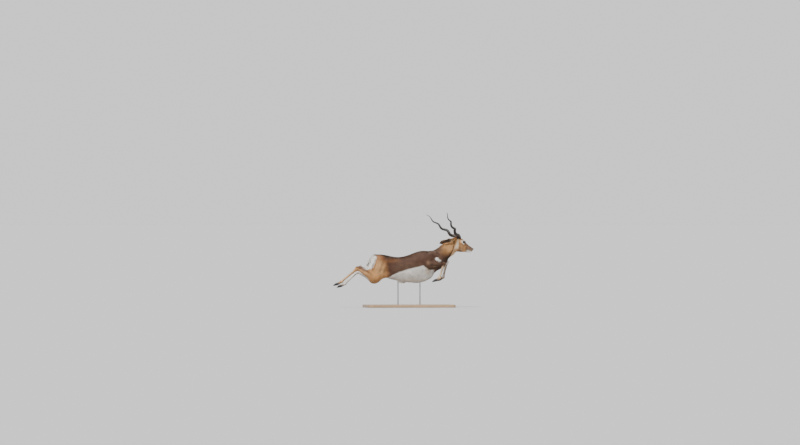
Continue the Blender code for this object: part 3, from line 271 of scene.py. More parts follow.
def headForms():
    face = [
        (-0.030, 0.004, -0.070, 0.038, 2.0, 0.0), (0.000, 0.014, -0.082, 0.046, 2.1, 0.0),
        (0.035, 0.024, -0.088, 0.051, 2.2, 0.0), (0.070, 0.028, -0.086, 0.053, 2.3, 0.0),
        (0.100, 0.023, -0.080, 0.046, 2.3, 0.0), (0.130, 0.010, -0.072, 0.037, 2.3, 0.0),
        (0.160, 0.000, -0.064, 0.030, 2.3, 0.0), (0.190, -0.006, -0.062, 0.026, 2.4, 0.0),
        (0.215, -0.010, -0.061, 0.0245, 2.5, 0.0), (0.240, -0.018, -0.058, 0.021, 2.4, 0.0),
    ]
    jaw = [
        (0.040, -0.050, -0.104, 0.030, 2.0, 0.0), (0.075, -0.050, -0.112, 0.034, 2.0, 0.0),
        (0.110, -0.052, -0.106, 0.031, 2.0, 0.0), (0.145, -0.052, -0.092, 0.024, 2.0, 0.0),
        (0.180, -0.044, -0.079, 0.020, 2.0, 0.0), (0.205, -0.042, -0.074, 0.019, 2.0, 0.0),
        (0.228, -0.042, -0.071, 0.017, 2.0, 0.0),
    ]
    forms = [loft(headPoll, headAxes, face, (0.035, 0.022), 0.03),
             loft(headPoll, headAxes, jaw, (0.030, 0.016), 0.012)]
    for side in (-1, 1):
        # cheek, cheek bone, brow over the eye, eye, horn seat, root of the ear, wing of the nose, hollow of the gland
        forms += [
            lump(onHead(0.080, 0.034 * side, -0.066), (0.042, 0.016, 0.036), 0.020, axes=headAxes),
            bone(onHead(0.060, 0.048 * side, -0.026), onHead(0.140, 0.031 * side, -0.034), 0.011, 0.007, 0.014),
            bone(onHead(0.058, 0.048 * side, 0.004), onHead(0.103, 0.045 * side, 0.008), 0.010, 0.006, 0.012),
            lump(eyePlace(side), (animal["eyeRadius"] + animal["lidThickness"],) * 3, 0.007),
            bone(onHead(0.038, 0.025 * side, -0.010), hornFoot(side) - hornStart(side) * 0.002,
                 0.022, 0.0195, 0.012),
            bone(onHead(-0.004, 0.034 * side, -0.022), earFoot(side) + earLie(side) * 0.012, 0.016, 0.014, 0.012),
            lump(onHead(0.230, 0.014 * side, -0.024), (0.012, 0.009, 0.010), 0.006, axes=headAxes),
            lump(onHead(0.113, 0.0475 * side, -0.020), (0.009, 0.005, 0.004), 0.006, axes=headAxes, cut=True),
        ]
    return forms


def eyePlace(side):
    return onHead(0.084, 0.0425 * side, -0.010)


def eyeAxes(side):  # out of the eye, towards the nose, up
    look = unit(headAxes @ np.array([0.26, 0.955 * side, 0.10]))
    up = unit(headAxes[:, 2] - look * (headAxes[:, 2] @ look))
    nose = np.cross(up, look)
    return np.column_stack([look, nose if nose @ headAxes[:, 0] > 0 else -nose, up])


def hornFoot(side):
    return onHead(0.026, 0.027 * side, 0.026)


def hornEnd(side):
    return hornFoot(side) + unit(headAxes @ np.array([-0.324, 0.176 * side, 0.136])) * animal["hornLength"]


def hornStart(side):
    return unit(unit(hornEnd(side) - hornFoot(side)) + headAxes @ np.array([0.25, 0.0, 0.25]))


def earFoot(side):
    return onHead(-0.024, 0.054 * side, -0.015)


def earLie(side):
    swing, dip = earTurn[side]
    return turned(headTurn[0] + math.pi + swing * side, dip)[:, 0]


def earOpening(side):  # where the cup faces
    return unit(headAxes[:, 1] * side * 0.92 + np.array([0.0, 0.0, -0.25]))


def foreForms(leg):
    elbow, knee, fetlock = leg["elbow"], leg["knee"], leg["fetlock"]
    upper = elbow + (knee - elbow) * 0.30
    thin = knee + (fetlock - knee) * 0.35
    return [
        bone(elbow, upper, 0.030, 0.027, 0.010, 0.85),
        bone(upper, knee, 0.027, 0.0155, 0.010, 0.9),
        lump(knee, (0.0200, 0.0165, 0.0190), 0.012),
        bone(knee, thin, 0.0165, 0.0112, 0.010, 0.95),
        bone(thin, fetlock, 0.0112, 0.0120, 0.010, 0.95),
    ] + footForms(fetlock, leg["coronet"], leg["tip"])


def hindForms(leg):
    stifle, hock, heel, fetlock = leg["stifle"], leg["hock"], leg["heel"], leg["fetlock"]
    calf = stifle + (hock - stifle) * 0.32 + (0.0, 0.0, 0.016)
    thin = hock + (fetlock - hock) * 0.30
    return [
        bone(stifle, calf, 0.046, 0.041, 0.020, 0.72),
        bone(calf, hock, 0.041, 0.0165, 0.016, 0.80),
        bone(calf + (0.0, 0.0, 0.010), heel, 0.024, 0.0085, 0.014, 0.7),
        bone(hock, heel, 0.0165, 0.0105, 0.012, 0.85),
        lump(hock, (0.0215, 0.0165, 0.0200), 0.010),
        bone(hock, thin, 0.0185, 0.0125, 0.010, 0.9),
        bone(thin, fetlock, 0.0125, 0.0120, 0.010, 0.95),
    ] + footForms(fetlock, leg["coronet"], leg["tip"])


def footForms(fetlock, coronet, tip):  # the small claws are on the sole's side, turned up in the leap
    behind = unit(np.cross((0.0, 1.0, 0.0), coronet - fetlock))
    return [
        lump(fetlock, (0.0165, 0.0145, 0.0165), 0.008),
        bone(fetlock, coronet, 0.0130, 0.0135, 0.008),
        bone(coronet, coronet + unit(tip - coronet) * 0.012, 0.0135, 0.0125, 0.004, 1.1),
    ] + [bone(fetlock, fetlock + (0.0, 0.007 * side, 0.0) + behind * 0.017, 0.008, 0.0055, 0.004)
         for side in (-1, 1)]


# The opening between the lids; long, tall and pointed also lay out the lashes
lidSizes = {"long": 1.36, "tall": 0.80, "pointed": 0.40, "back": 0.02, "raised": 0.05, "slant": 0.10,
            "steep": 0.62, "nearest": 0.0025, "start": 0.004, "reach": 1.6, "blend": 0.0016}


def almond(side):  # a cone from the middle of the eye
    axes = eyeAxes(side)
    centre = eyePlace(side)
    reach = lidSizes["reach"] * animal["eyeRadius"]

    def distance(points):
        local = (points - centre) @ axes
        out = np.maximum(local[:, 0], lidSizes["nearest"])
        a = (local[:, 1] + lidSizes["back"] * out) / (out * lidSizes["long"])
        b = (local[:, 2] - lidSizes["raised"] * out + lidSizes["slant"] * local[:, 1]) / (out * lidSizes["tall"])
        b = b / (1.0 - lidSizes["pointed"] * np.minimum(a * a, 1.0))
        cone = (np.hypot(a, b) - 1.0) * out * lidSizes["steep"]
        return np.maximum(cone, lidSizes["start"] - local[:, 0])

    return {"distance": distance, "low": centre - reach, "high": centre + reach, "blend": lidSizes["blend"],
            "cut": True}


def chain(places, radii, blend, cut=True):
    return [bone(places[k], places[k + 1], radii[k], radii[k + 1], blend, cut=cut) for k in range(len(places) - 1)]


def headChain(side, places, radii, blend):  # a groove through places in the frame of the head
    return chain([onHead(a, s * side, h) for a, s, h in places], radii, blend)


lidFolds = {"reach": 0.0042, "angles": (-58, -30, 0, 30, 58), "blend": 0.0055}


def faceForms():  # what the coat doesn't cover: lids, gland, nostrils and mouth
    forms = []
    for side in (-1, 1):
        axes, centre = eyeAxes(side), eyePlace(side)
        # crease over the upper lid and bag under the lower one
        for lift, depth in ((1.02, 0.0011), (-0.92, 0.0009)):
            ring = [centre + axes @ (np.array([math.cos(lift) * math.cos(t), math.sin(t) * 1.02,
                                               math.sin(lift) * math.cos(t)])
                                     * (animal["eyeRadius"] + lidFolds["reach"]))
                    for t in map(math.radians, lidFolds["angles"])]
            forms += chain(ring, [0.0004, depth, depth, depth, 0.0004], lidFolds["blend"])
        forms.append(almond(side))
        for places, radii, blend in (
                # gland slit before the eye, ridged along its edge
                (((0.104, 0.0500, -0.014), (0.114, 0.0480, -0.020), (0.126, 0.0420, -0.027)),
                 (0.0016, 0.0030, 0.0010), 0.0040),
                # nostril, a comma that opens forwards and outwards, and its wing
                (((0.2450, 0.0085, -0.0310), (0.2425, 0.0130, -0.0270), (0.2350, 0.0178, -0.0225),
                  (0.2250, 0.0195, -0.0205)), (0.0022, 0.0036, 0.0030, 0.0008), 0.0020),
                # line of the mouth, the corner a little lower
                (((0.2420, 0.0040, -0.0500), (0.2370, 0.0150, -0.0520), (0.2250, 0.0218, -0.0545),
                  (0.2060, 0.0250, -0.0560), (0.1830, 0.0262, -0.0575), (0.1600, 0.0290, -0.0610),
                  (0.1440, 0.0310, -0.0650)), (0.0013, 0.0015, 0.0016, 0.0016, 0.0015, 0.0013, 0.0006), 0.0028),
                # fold under the cheek and the hollow behind the corner of the mouth
                (((0.125, 0.034, -0.072), (0.140, 0.0325, -0.074)), (0.0040, 0.0020), 0.0100),
                (((0.150, 0.0290, -0.022), (0.200, 0.0240, -0.032)), (0.0035, 0.0020), 0.0100)):
            forms += headChain(side, places, radii, blend)
    # groove of the upper lip
    return forms + headChain(0, ((0.2480, 0.0, -0.0300), (0.2450, 0.0, -0.0520)), (0.0012, 0.0014), 0.0030)


def muscleForms():  # shallow grooves that part the muscles, and the folds of a bent neck
    lines = [
        # behind the shoulder blade, behind the upper arm, under the blade's spine
        ([(0.205, 0.112, 0.545), (0.190, 0.125, 0.480), (0.205, 0.120, 0.420)], 0.006, 0.030),
        ([(0.330, 0.098, 0.520), (0.290, 0.112, 0.490), (0.270, 0.118, 0.470)], 0.004, 0.030),
        ([(0.285, 0.090, 0.570), (0.300, 0.098, 0.520)], 0.003, 0.030),
        # between the muscles of the thigh, and before it
        ([(-0.215, 0.105, 0.500), (-0.232, 0.128, 0.440), (-0.262, 0.132, 0.380)], 0.005, 0.030),
        ([(-0.318, 0.092, 0.490), (-0.338, 0.108, 0.430), (-0.360, 0.112, 0.380)], 0.005, 0.024),
        ([(-0.150, 0.105, 0.420), (-0.160, 0.108, 0.370)], 0.004, 0.022),
    ]
    for x in (0.155, 0.122, 0.089, 0.056, 0.023, -0.010):  # between the ribs
        lines.append(([(x, 0.118, 0.480), (x - 0.022, 0.128, 0.420), (x - 0.030, 0.118, 0.360)], 0.0022, 0.014))
    forms = []
    for side in (-1, 1):
        for places, radius, blend in lines:
            ring = [(x, y * side, z) for x, y, z in places]
            forms += chain(ring, [radius * 0.5] + [radius] * (len(ring) - 2) + [radius * 0.5], blend)
    for along in (0.205, 0.228):
        ring = [onNeck(along, 0.052 * math.sin(a), -0.020 - 0.066 * math.cos(a))
                for a in np.radians([-62, -30, 0, 30, 62])]
        forms += chain(ring, [0.0010, 0.0022, 0.0026, 0.0022, 0.0010], 0.0120)
    return forms


def tailForms():
    places = [(-0.345, 0.0, 0.509), (-0.370, 0.0, 0.481), (-0.386, 0.002, 0.450), (-0.394, 0.004, 0.420),
              (-0.397, 0.005, 0.400)]
    return chain(places, [0.0155, 0.0110, 0.0080, 0.0055, 0.0035], 0.006, cut=False)


def legGroup(forms, joint, reach, blend):
    return {"forms": forms, "depth": 0.0016, "joint": joint, "reach": reach, "blend": blend}


# Depth is how far the skin lies under the tips of the coat
groups = [
    {"forms": trunkForms() + muscleForms() + tailForms(), "depth": 0.0035},
    {"forms": headForms(), "depth": 0.0010, "joint": onHead(-0.01, 0, -0.05), "reach": 0.110, "blend": 0.034},
]
groups += [legGroup(foreForms(leg), leg["elbow"], 0.050, 0.030) for leg in (foreRight, foreLeft)]
groups += [legGroup(hindForms(leg), leg["stifle"], 0.120, 0.040) for leg in (hindRight, hindLeft)]
bare = faceForms()


def addForms(own, forms, points):
    for form in forms:
        near = np.flatnonzero(np.all((points > form["low"] - 0.05) & (points < form["high"] + 0.05), axis=1))
        if near.size:
            join = smoothCut if form.get("cut") else smoothUnion
            own[near] = join(own[near], form["distance"](points[near]), form["blend"])
    return own


def skinField(points):
    total = np.ones(len(points))
    for group in groups:
        own = addForms(np.ones(len(points)), group["forms"], points) + group["depth"]
        if "joint" in group:
            away = np.linalg.norm(points - group["joint"], axis=1) / group["reach"]
            total = smoothUnion(total, own, 0.001 + group["blend"] * np.exp(-away ** 4))
        else:
            total = own
    return addForms(total, bare, points)


def cornerCount(marked, cells):  # how many of each cell's eight corners are marked
    total = np.zeros(cells, dtype=np.int8)
    for i, j, k in product((0, 1), repeat=3):
        total += marked[i:i + cells[0], j:j + cells[1], k:k + cells[2]]
    return total


netSizes = {"block": 4, "near": 2.1, "atOnce": 400000}


def netSurface(low, high, step):  # quads round the zero surface; only blocks of the grid near it are worked out
    low, block = np.array(low, dtype=float), netSizes["block"]
    count = (np.ceil((np.array(high) - low) / step / block).astype(int)) * block + 1
    lines = [low[k] + step * np.arange(count[k]) for k in range(3)]
    rough = np.stack(np.meshgrid(*[line[::block] for line in lines], indexing="ij"), axis=-1)
    roughValue = skinField(rough.reshape(-1, 3)).reshape(rough.shape[:3])
    close = np.abs(roughValue) < netSizes["near"] * block * step
    blocks = np.argwhere(cornerCount(close, tuple(np.array(close.shape) - 1)))
    value = np.sign(roughValue)
    for axis in range(3):
        value = value.repeat(block, axis)
    value = value[:count[0], :count[1], :count[2]]
    wanted = np.zeros(tuple(count), dtype=bool)
    for offset in product(range(block + 1), repeat=3):
        wanted[tuple((blocks * block + offset).T)] = True
    places = np.argwhere(wanted)
    for start in range(0, len(places), netSizes["atOnce"]):
        some = places[start:start + netSizes["atOnce"]]
        value[tuple(some.T)] = skinField(low + step * some)
    inside = value < 0.0
    cells = tuple(count - 1)
    filled = cornerCount(inside, cells)
    active = np.argwhere((filled > 0) & (filled < 8))
    number = np.full(cells, -1)
    number[tuple(active.T)] = np.arange(len(active))
    place, crossings = np.zeros((len(active), 3)), np.zeros(len(active))
    for axis, p, q in product(range(3), (0, 1), (0, 1)):
        ahead, offset = np.eye(3, dtype=int)[axis], np.zeros(3, dtype=int)
        offset[[k for k in range(3) if k != axis]] = (p, q)
        a, b = value[tuple((active + offset).T)], value[tuple((active + offset + ahead).T)]
        hit = (a < 0) != (b < 0)
        t = np.where(hit, a / np.where(hit, a - b, 1.0), 0.0)
        place += np.where(hit, 1.0, 0.0)[:, None] * (offset + t[:, None] * ahead)
        crossings += hit
    points = low + step * (active + place / crossings[:, None])
    faces = []
    for axis in range(3):
        one, two = (axis + 1) % 3, (axis + 2) % 3
        early = np.take(inside, range(count[axis] - 1), axis)
        start = np.argwhere(early != np.take(inside, range(1, count[axis]), axis))
        start = start[(start[:, one] > 0) & (start[:, two] > 0)]
        start = start[(start[:, one] < cells[one]) & (start[:, two] < cells[two])]
        ring = []
        for back in ((0, 0), (1, 0), (1, 1), (0, 1)):
            cell = start.copy()
            cell[:, [one, two]] -= back
            ring.append(number[tuple(cell.T)])
        ring = np.column_stack(ring)
        faces.append(np.where(inside[tuple(start.T)][:, None], ring, ring[:, ::-1]))
    return unpinched(points, np.vstack(faces))


def unpinched(points, faces):  # a point shared by two sheets becomes one for each
    pairs = np.sort(np.vstack([faces[:, [k, (k + 1) % 4]] for k in range(4)]), axis=1)
    edges, counts = np.unique(pairs, axis=0, return_counts=True)
    crowded = {tuple(e) for e in edges[counts > 2].tolist()}
    extra = []
    for point in sorted({p for e in crowded for p in e}):
        around = np.flatnonzero((faces == point).any(axis=1))
        loose = set(around.tolist())
        sheets = []
        while loose:
            sheet, queue = [], [loose.pop()]
            while queue:
                one = queue.pop()
                sheet.append(one)
                for other in list(loose):
                    shared = set(faces[one].tolist()) & set(faces[other].tolist()) - {point}
                    if any(tuple(sorted((point, q))) not in crowded for q in shared):
                        loose.discard(other)
                        queue.append(other)
            sheets.append(sheet)
        for sheet in sheets[1:]:
            for face in sheet:
                faces[face][faces[face] == point] = len(points) + len(extra)
            extra.append(points[point])
    return (np.vstack([points, extra]) if extra else points), faces


def slopeAt(points, tiny=4e-4):
    return np.column_stack([(skinField(points + tiny * axis) - skinField(points - tiny * axis))
                            for axis in np.eye(3)]) / (2 * tiny)


def settle(points, rounds=2, limit=0.004):  # points moved onto the zero surface along its slope
    points = points.copy()
    for _ in range(rounds):
        slope = slopeAt(points)
        size = np.maximum((slope ** 2).sum(axis=1), 0.05)
        move = slope * (skinField(points) / size)[:, None]
        length = np.linalg.norm(move, axis=1)
        points -= move * np.minimum(1.0, limit / np.maximum(length, 1e-9))[:, None]
    return points


skinSizes = {"bodyStep": 0.0060, "headStep": 0.0024, "crumb": 500}

# Where the coarse skin of the body meets the fine skin of the head
seam = {"point": onHead(-0.040, 0.0, -0.080), "axes": turned(headTurn[0] * 0.75, math.radians(23.0)),
        "width": 0.0045, "reach": 0.16, "cutReach": 0.15}


def meshShape(points, faces):
    shape = bmesh.new()
    verts = [shape.verts.new(p) for p in points]
    for face in faces:
        shape.faces.new([verts[k] for k in face])
    return shape


def trimmed(points, faces, way):  # keeps what lies beyond the seam (1) or before it (-1)
    axis = seam["axes"][:, 0]
    place = seam["point"] + axis * 0.5 * seam["width"] * way
    side = (points - place) @ axis * way
    near = side[faces].max(axis=1) > 0.0
    if way < 0:  # the legs and the breast lie beyond the plane too, but far from the neck
        near |= np.linalg.norm(points[faces].mean(axis=1) - seam["point"], axis=1) > seam["reach"]
    used = np.unique(faces[near])
    number = np.full(len(points), -1)
    number[used] = np.arange(len(used))
    shape = meshShape(points[used], number[faces[near]])
    close = [f for f in shape.faces
             if np.linalg.norm(np.array(f.calc_center_median()) - seam["point"]) < seam["cutReach"]]
    edges = dict.fromkeys(e for f in close for e in f.edges)
    verts = dict.fromkeys(v for f in close for v in f.verts)
    bmesh.ops.bisect_plane(shape, geom=[*close, *edges, *verts], plane_co=place, plane_no=axis * way,
                           clear_inner=True, dist=1e-6)
    return shape


def openRing(shape, way):  # the open edge on the seam's plane, in order round the neck
    local = {v: (np.array(v.co) - seam["point"]) @ seam["axes"]
             for e in shape.edges if len(e.link_faces) == 1 for v in e.verts}
    verts = [v for v, p in local.items()
             if abs(p[0] - 0.5 * seam["width"] * way) < 1e-5 and np.linalg.norm(p) < seam["reach"]]
    local = np.array([local[v] for v in verts])
    middle = 0.5 * (local[:, 1:].min(axis=0) + local[:, 1:].max(axis=0))
    angle = np.arctan2(local[:, 2] - middle[1], local[:, 1] - middle[0])
    order = np.argsort(angle)
    return [verts[k] for k in order], angle[order]


def withoutCrumbs(shape):  # loose faces go, small holes close
    left = dict.fromkeys(shape.faces)  # not a set, whose order could change from run to run
    while left:
        island, edge = [], [left.popitem()[0]]
        while edge:
            face = edge.pop()
            island.append(face)
            found = dict.fromkeys(f for e in face.edges for f in e.link_faces if f in left)
            for f in found:
                del left[f]
            edge += found
        if len(island) < skinSizes["crumb"]:
            bmesh.ops.delete(shape, geom=island, context="FACES")
    bmesh.ops.holes_fill(shape, edges=[e for e in shape.edges if len(e.link_faces) == 1], sides=12)
    bmesh.ops.triangulate(shape, faces=[f for f in shape.faces if len(f.verts) > 4])


def joinedSkin():
    body = trimmed(*netSurface((-0.76, -0.165, 0.195), (0.60, 0.165, 0.80), skinSizes["bodyStep"]), -1)
    head = trimmed(*netSurface((0.46, -0.07, 0.53), (0.78, 0.17, 0.78), skinSizes["headStep"]), 1)
    whole = bmesh.new()
    rings = []
    for shape, way in ((body, -1), (head, 1)):
        made = {v: whole.verts.new(v.co) for v in shape.verts}
        for face in shape.faces:
            whole.faces.new([made[v] for v in face.verts])
        ring, angle = openRing(shape, way)
        rings.append(([made[v] for v in ring], angle))
    (a, angleA), (b, angleB) = rings
    i = j = 0
    while i < len(a) or j < len(b):  # a strip between the two rings, taking the nearer angle each time
        nextA = angleA[i + 1] if i + 1 < len(a) else angleA[0] + 2 * math.pi
        nextB = angleB[j + 1] if j + 1 < len(b) else angleB[0] + 2 * math.pi
        if j >= len(b) or (i < len(a) and nextA <= nextB):
            corners = [a[i], a[(i + 1) % len(a)], b[j % len(b)]]
            i += 1
        else:
            corners = [a[i % len(a)], b[(j + 1) % len(b)], b[j]]
            j += 1
        if len(set(corners)) == 3:
            whole.faces.new(corners)
    withoutCrumbs(whole)
    bmesh.ops.recalc_face_normals(whole, faces=whole.faces)
    if whole.calc_volume(signed=True) < 0.0:
        bmesh.ops.reverse_faces(whole, faces=whole.faces)
    print("seam closed,", sum(len(e.link_faces) != 2 for e in whole.edges), "odd edges")
    for wanting in (nearLegs, nearFeatures, nearLids):
        wanted = wanting(np.array([np.array(f.calc_center_median()) for f in whole.faces]))
        chosen = dict.fromkeys(e for f, w in zip(whole.faces, wanted) if w for e in f.edges)
        bmesh.ops.subdivide_edges(whole, edges=list(chosen), cuts=1, use_grid_fill=True)
    return whole


nearSizes = {"pastElbow": 0.035, "leg": 0.030, "eye": 0.024, "line": 0.006, "lid": 0.020, "lidFront": 0.004}


def nearLegs(places):  # below the elbows and beyond the stifles
    chosen = np.zeros(len(places), dtype=bool)
    for leg in legs:
        names = foreNames[1:5] if "elbow" in leg else ("hock", "fetlock", "coronet")
        for one, two in zip(names, names[1:]):
            start = leg[one] + (nearSizes["pastElbow"] if one == "elbow" else 0.0) * unit(leg[two] - leg[one])
            chosen |= distanceTo(places, start, leg[two])[0] < nearSizes["leg"]
    return chosen


def nearFeatures(places):
    chosen = np.zeros(len(places), dtype=bool)
    for side in (-1, 1):
        chosen |= np.linalg.norm(places - eyePlace(side), axis=1) < nearSizes["eye"]
    for form in bare:
        if "path" in form:
            chosen |= distanceTo(places, *form["path"])[0] < nearSizes["line"]
    return chosen


def nearLids(places):
    chosen = np.zeros(len(places), dtype=bool)
    for side in (-1, 1):
        out = (places - eyePlace(side)) @ eyeAxes(side)
        chosen |= (np.linalg.norm(out, axis=1) < nearSizes["lid"]) & (out[:, 0] > nearSizes["lidFront"])
    return chosen


def distanceTo(points, start, end):  # distance to a stretch, and the share along it
    run = end - start
    share = np.clip((points - start) @ run / (run @ run), 0.0, 1.0)
    return np.linalg.norm(points - start - share[:, None] * run, axis=1), share


def linked(piece):
    bpy.context.scene.collection.objects.link(piece)
    return piece


def pieceFrom(name, points, faces):
    mesh = bpy.data.meshes.new(name)
    mesh.from_pydata([tuple(p) for p in np.asarray(points, dtype=float) + shift], [],
                     [tuple(int(k) for k in f) for f in faces])
    mesh.polygons.foreach_set("use_smooth", [True] * len(mesh.polygons))
    mesh.validate()
    return linked(bpy.data.objects.new(name, mesh))


def tubeFaces(rows, count):
    return [(k * count + j, k * count + n, (k + 1) * count + n, (k + 1) * count + j)
            for k in range(rows) for j, n in zip(range(count), [*range(1, count), 0])]


def sweep(path, radii, sides, hint):  # a closed tube of round sections
    path = np.array(path, dtype=float)
    tangents = units(np.gradient(path, axis=0))
    across = unit(np.cross(tangents[0], hint))
    angles = 2 * math.pi * np.arange(sides) / sides
    points = []
    for place, tangent, radius in zip(path, tangents, radii):
        across = unit(across - tangent * (across @ tangent))
        other = np.cross(tangent, across)
        points += [place + across * radius * math.cos(a) + other * radius * math.sin(a) for a in angles]
    return points, tubeFaces(len(path) - 1, sides) + [
        tuple(range(sides - 1, -1, -1)), tuple(range((len(path) - 1) * sides, len(path) * sides))]


def outwards(piece):  # faces turned outwards, doubles merged
    shape = bmesh.new()
    shape.from_mesh(piece.data)
    bmesh.ops.remove_doubles(shape, verts=shape.verts, dist=1e-6)
    bmesh.ops.recalc_face_normals(shape, faces=shape.faces)
    shape.to_mesh(piece.data)
    shape.free()
    return piece


# Horns: a corkscrew round a straight axis, rings crowded towards the tip, mirror images

hornSizes = {
    "rings": 26, "perRing": 8, "sides": 28, "ringHeight": 0.0021, "ringFade": 0.62, "lastRing": 0.97, "crowd": 1.12,
    "steep": 0.72, "breakOff": 0.28, "valley": 0.0006, "smoothTip": 0.16, "sink": 0.006, "thinning": 1.15,
    "firstTurn": -0.49, "swingIn": 0.12, "swingFade": 0.45, "samples": 1200,
}


def hornPath(side, t):
    foot = hornFoot(side)
    axis = unit(hornEnd(side) - foot)
    up = unit(headAxes[:, 2] - axis * (headAxes[:, 2] @ axis))
    out = np.cross(axis, up) * side
    turn = 2 * math.pi * animal["hornTurns"] * t + hornSizes["firstTurn"]
    swing = animal["hornSwing"] * min(1.0, t / hornSizes["swingIn"]) * (1.0 - hornSizes["swingFade"] * t)
    bow = up * (-4.0 * animal["hornBow"] * t * (1.0 - t))
    return foot + axis * (animal["hornLength"] * t) + bow + (up * math.cos(turn) + out * math.sin(turn)) * swing


def hornRadius(t):
    return animal["hornBaseRadius"] + (animal["hornTipRadius"] - animal["hornBaseRadius"]) * t ** hornSizes["thinning"]


def ringHeight(t):
    return hornSizes["ringHeight"] * (1.0 - hornSizes["ringFade"] * t)


def makeHorn(word, side):
    count, per, steep = hornSizes["rings"], hornSizes["perRing"], hornSizes["steep"]
    edge = 1.0 - hornSizes["smoothTip"]
    stations = []
    for k in range(count * per):
        share = (k / per) / count
        stations.append((edge * (1.0 - (1.0 - share) ** hornSizes["crowd"]), (k % per) / per, share))
    stations += [(edge + (1.0 - edge) * s, 0.0, 1.0) for s in (0.0, 0.15, 0.3, 0.45, 0.6, 0.75, 0.88, 0.96, 1.0)]
    path, radii = [hornFoot(side) - hornStart(side) * hornSizes["sink"]], [animal["hornBaseRadius"] * 1.02]
    for t, phase, share in stations:
        # a ring rises slowly from below and breaks off steeply above
        swell = (phase / steep) ** 1.6 if phase < steep else (1.0 - (phase - steep) / hornSizes["breakOff"]) ** 0.7
        height = ringHeight(t) * fade(share, hornSizes["lastRing"], 0.06)
        path.append(hornPath(side, t))
        radii.append(hornRadius(t) - hornSizes["valley"] + height * swell)
    points, faces = sweep(path, radii, hornSizes["sides"], tuple(headAxes[:, 1]))
    return outwards(pieceFrom("hornRinged_" + word, points, faces))


# Eyes

eyeSizes = {"stacks": 28, "slices": 48, "cornea": 0.0009, "corneaEdge": 0.72, "corneaRun": 0.28, "gap": 0.0002}


def makeEye(word, side):
    axes, centre = eyeAxes(side), eyePlace(side)
    radius, cornea, edge = animal["eyeRadius"] - eyeSizes["gap"], eyeSizes["cornea"], eyeSizes["corneaEdge"]
    stacks, slices = eyeSizes["stacks"], eyeSizes["slices"]
    points = [centre - axes[:, 0] * radius]
    for k, j in product(range(1, stacks), range(slices)):
        angle, turn = math.pi * k / stacks, 2 * math.pi * j / slices
        out = -math.cos(angle)
        swell = radius + cornea * (max(0.0, out - edge) / eyeSizes["corneaRun"]) ** 0.8
        local = (out, math.sin(angle) * math.cos(turn), math.sin(angle) * math.sin(turn))
        points.append(centre + axes @ (swell * np.array(local)))
    points.append(centre + axes[:, 0] * (radius + cornea))
    last = len(points) - 1
    faces = []
    for j in range(slices):
        n = (j + 1) % slices
        faces.append((0, 1 + n, 1 + j))
        for a in range(1, 1 + (stacks - 2) * slices, slices):
            faces.append((a + j, a + n, a + slices + n, a + slices + j))
        faces.append((last, last - slices + j, last - slices + n))
    return outwards(pieceFrom("eyeball_" + word, points, faces))


# Ears: cupped leaves, a tube at the root

earSizes = {"rows": 34, "columns": 22, "thick": 0.0030, "thinner": 0.0014, "seat": 0.0105, "droop": 0.010,
            "start": -0.16}
earWidths = smoothRows([(-0.16, 0.0070), (-0.05, 0.0115), (0.03, 0.0152), (0.15, 0.0180), (0.40, 0.0235),
                        (0.58, 0.0245), (0.78, 0.0195), (0.92, 0.0100), (1.0, 0.0015)])
earRolls = smoothRows([(-0.16, 2.60), (0.0, 2.45), (0.15, 1.95), (0.40, 1.35), (0.60, 1.05), (0.80, 0.85),
                       (1.0, 0.5)])


def earPoint(side, t, across, way):  # way 1 outer skin, 0 inner skin; across from -1 to 1
    axis, seat = earLie(side), earSizes["seat"]
    opening = earOpening(side)
    opening = unit(opening - axis * (opening @ axis))
    roll = np.interp(t, earRolls[:, 0], earRolls[:, 1])
    radius = np.interp(t, earWidths[:, 0], earWidths[:, 1]) / roll
    thick = earSizes["thick"] - earSizes["thinner"] * max(t, 0.0)
    middle = (earFoot(side) + axis * (animal["earLength"] * t)
              + opening * (seat * (1 - t if t > 0.06 else 0.60 + 5.67 * t) - earSizes["droop"] * t * t))
    angle = roll * across
    reach = radius if way else max(radius - thick * (1.0 - 0.75 * abs(across) ** 4), 0.0004)
    return (middle + np.cross(opening, axis) * reach * math.sin(angle)
            - opening * (reach * math.cos(angle) - (radius - seat * (1 - t)) * 0.6))


def earShell(side):
    rows, columns, start = earSizes["rows"], earSizes["columns"], earSizes["start"]
    points = []
    for way, i in product((1, 0), range(rows + 1)):
        t = start + (1.0 - start) * (1.0 - (1.0 - i / rows) ** 1.15)
        points += [earPoint(side, t, 2.0 * j / columns - 1.0, way) for j in range(columns + 1)]
    wide = columns + 1
    count = (rows + 1) * wide
    faces = []
    for i, j in product(range(rows), range(columns)):
        a = i * wide + j
        faces.append((a, a + 1, a + 1 + wide, a + wide))
        faces.append((a + count + wide, a + count + wide + 1, a + count + 1, a + count))
    rim = [i * wide for i in range(rows + 1)] + [rows * wide + j for j in range(1, wide)]
    rim += [i * wide + columns for i in range(rows - 1, -1, -1)] + list(range(columns - 1, 0, -1))
    faces += [(a, b, b + count, a + count) for a, b in zip(rim, rim[1:] + rim[:1])]
    points = np.array(points)
    corners = points[np.array(faces)] - points.mean(axis=0)
    volume = sum(np.einsum("ij,ij->", corners[:, 0], np.cross(corners[:, k], corners[:, k + 1])) for k in (1, 2))
    return points, faces if volume > 0.0 else [face[::-1] for face in faces]


# Claws: flat towards their twin, round outside, with growth rings

clawSizes = {"length": 0.056, "rows": 30, "turns": 14, "ring": 0.00035, "ringPace": 1900.0, "gap": 0.0011}
clawRows = smoothRows([  # along, underside, upper side, half width
    (-0.006, -0.0118, 0.0118, 0.0126), (0.0, -0.0125, 0.0128, 0.0131), (0.010, -0.0128, 0.0150, 0.0135),
    (0.022, -0.0118, 0.0142, 0.0130), (0.036, -0.0098, 0.0092, 0.0110), (0.048, -0.0070, 0.0030, 0.0075),
    (0.056, -0.0045, -0.0018, 0.0030)])


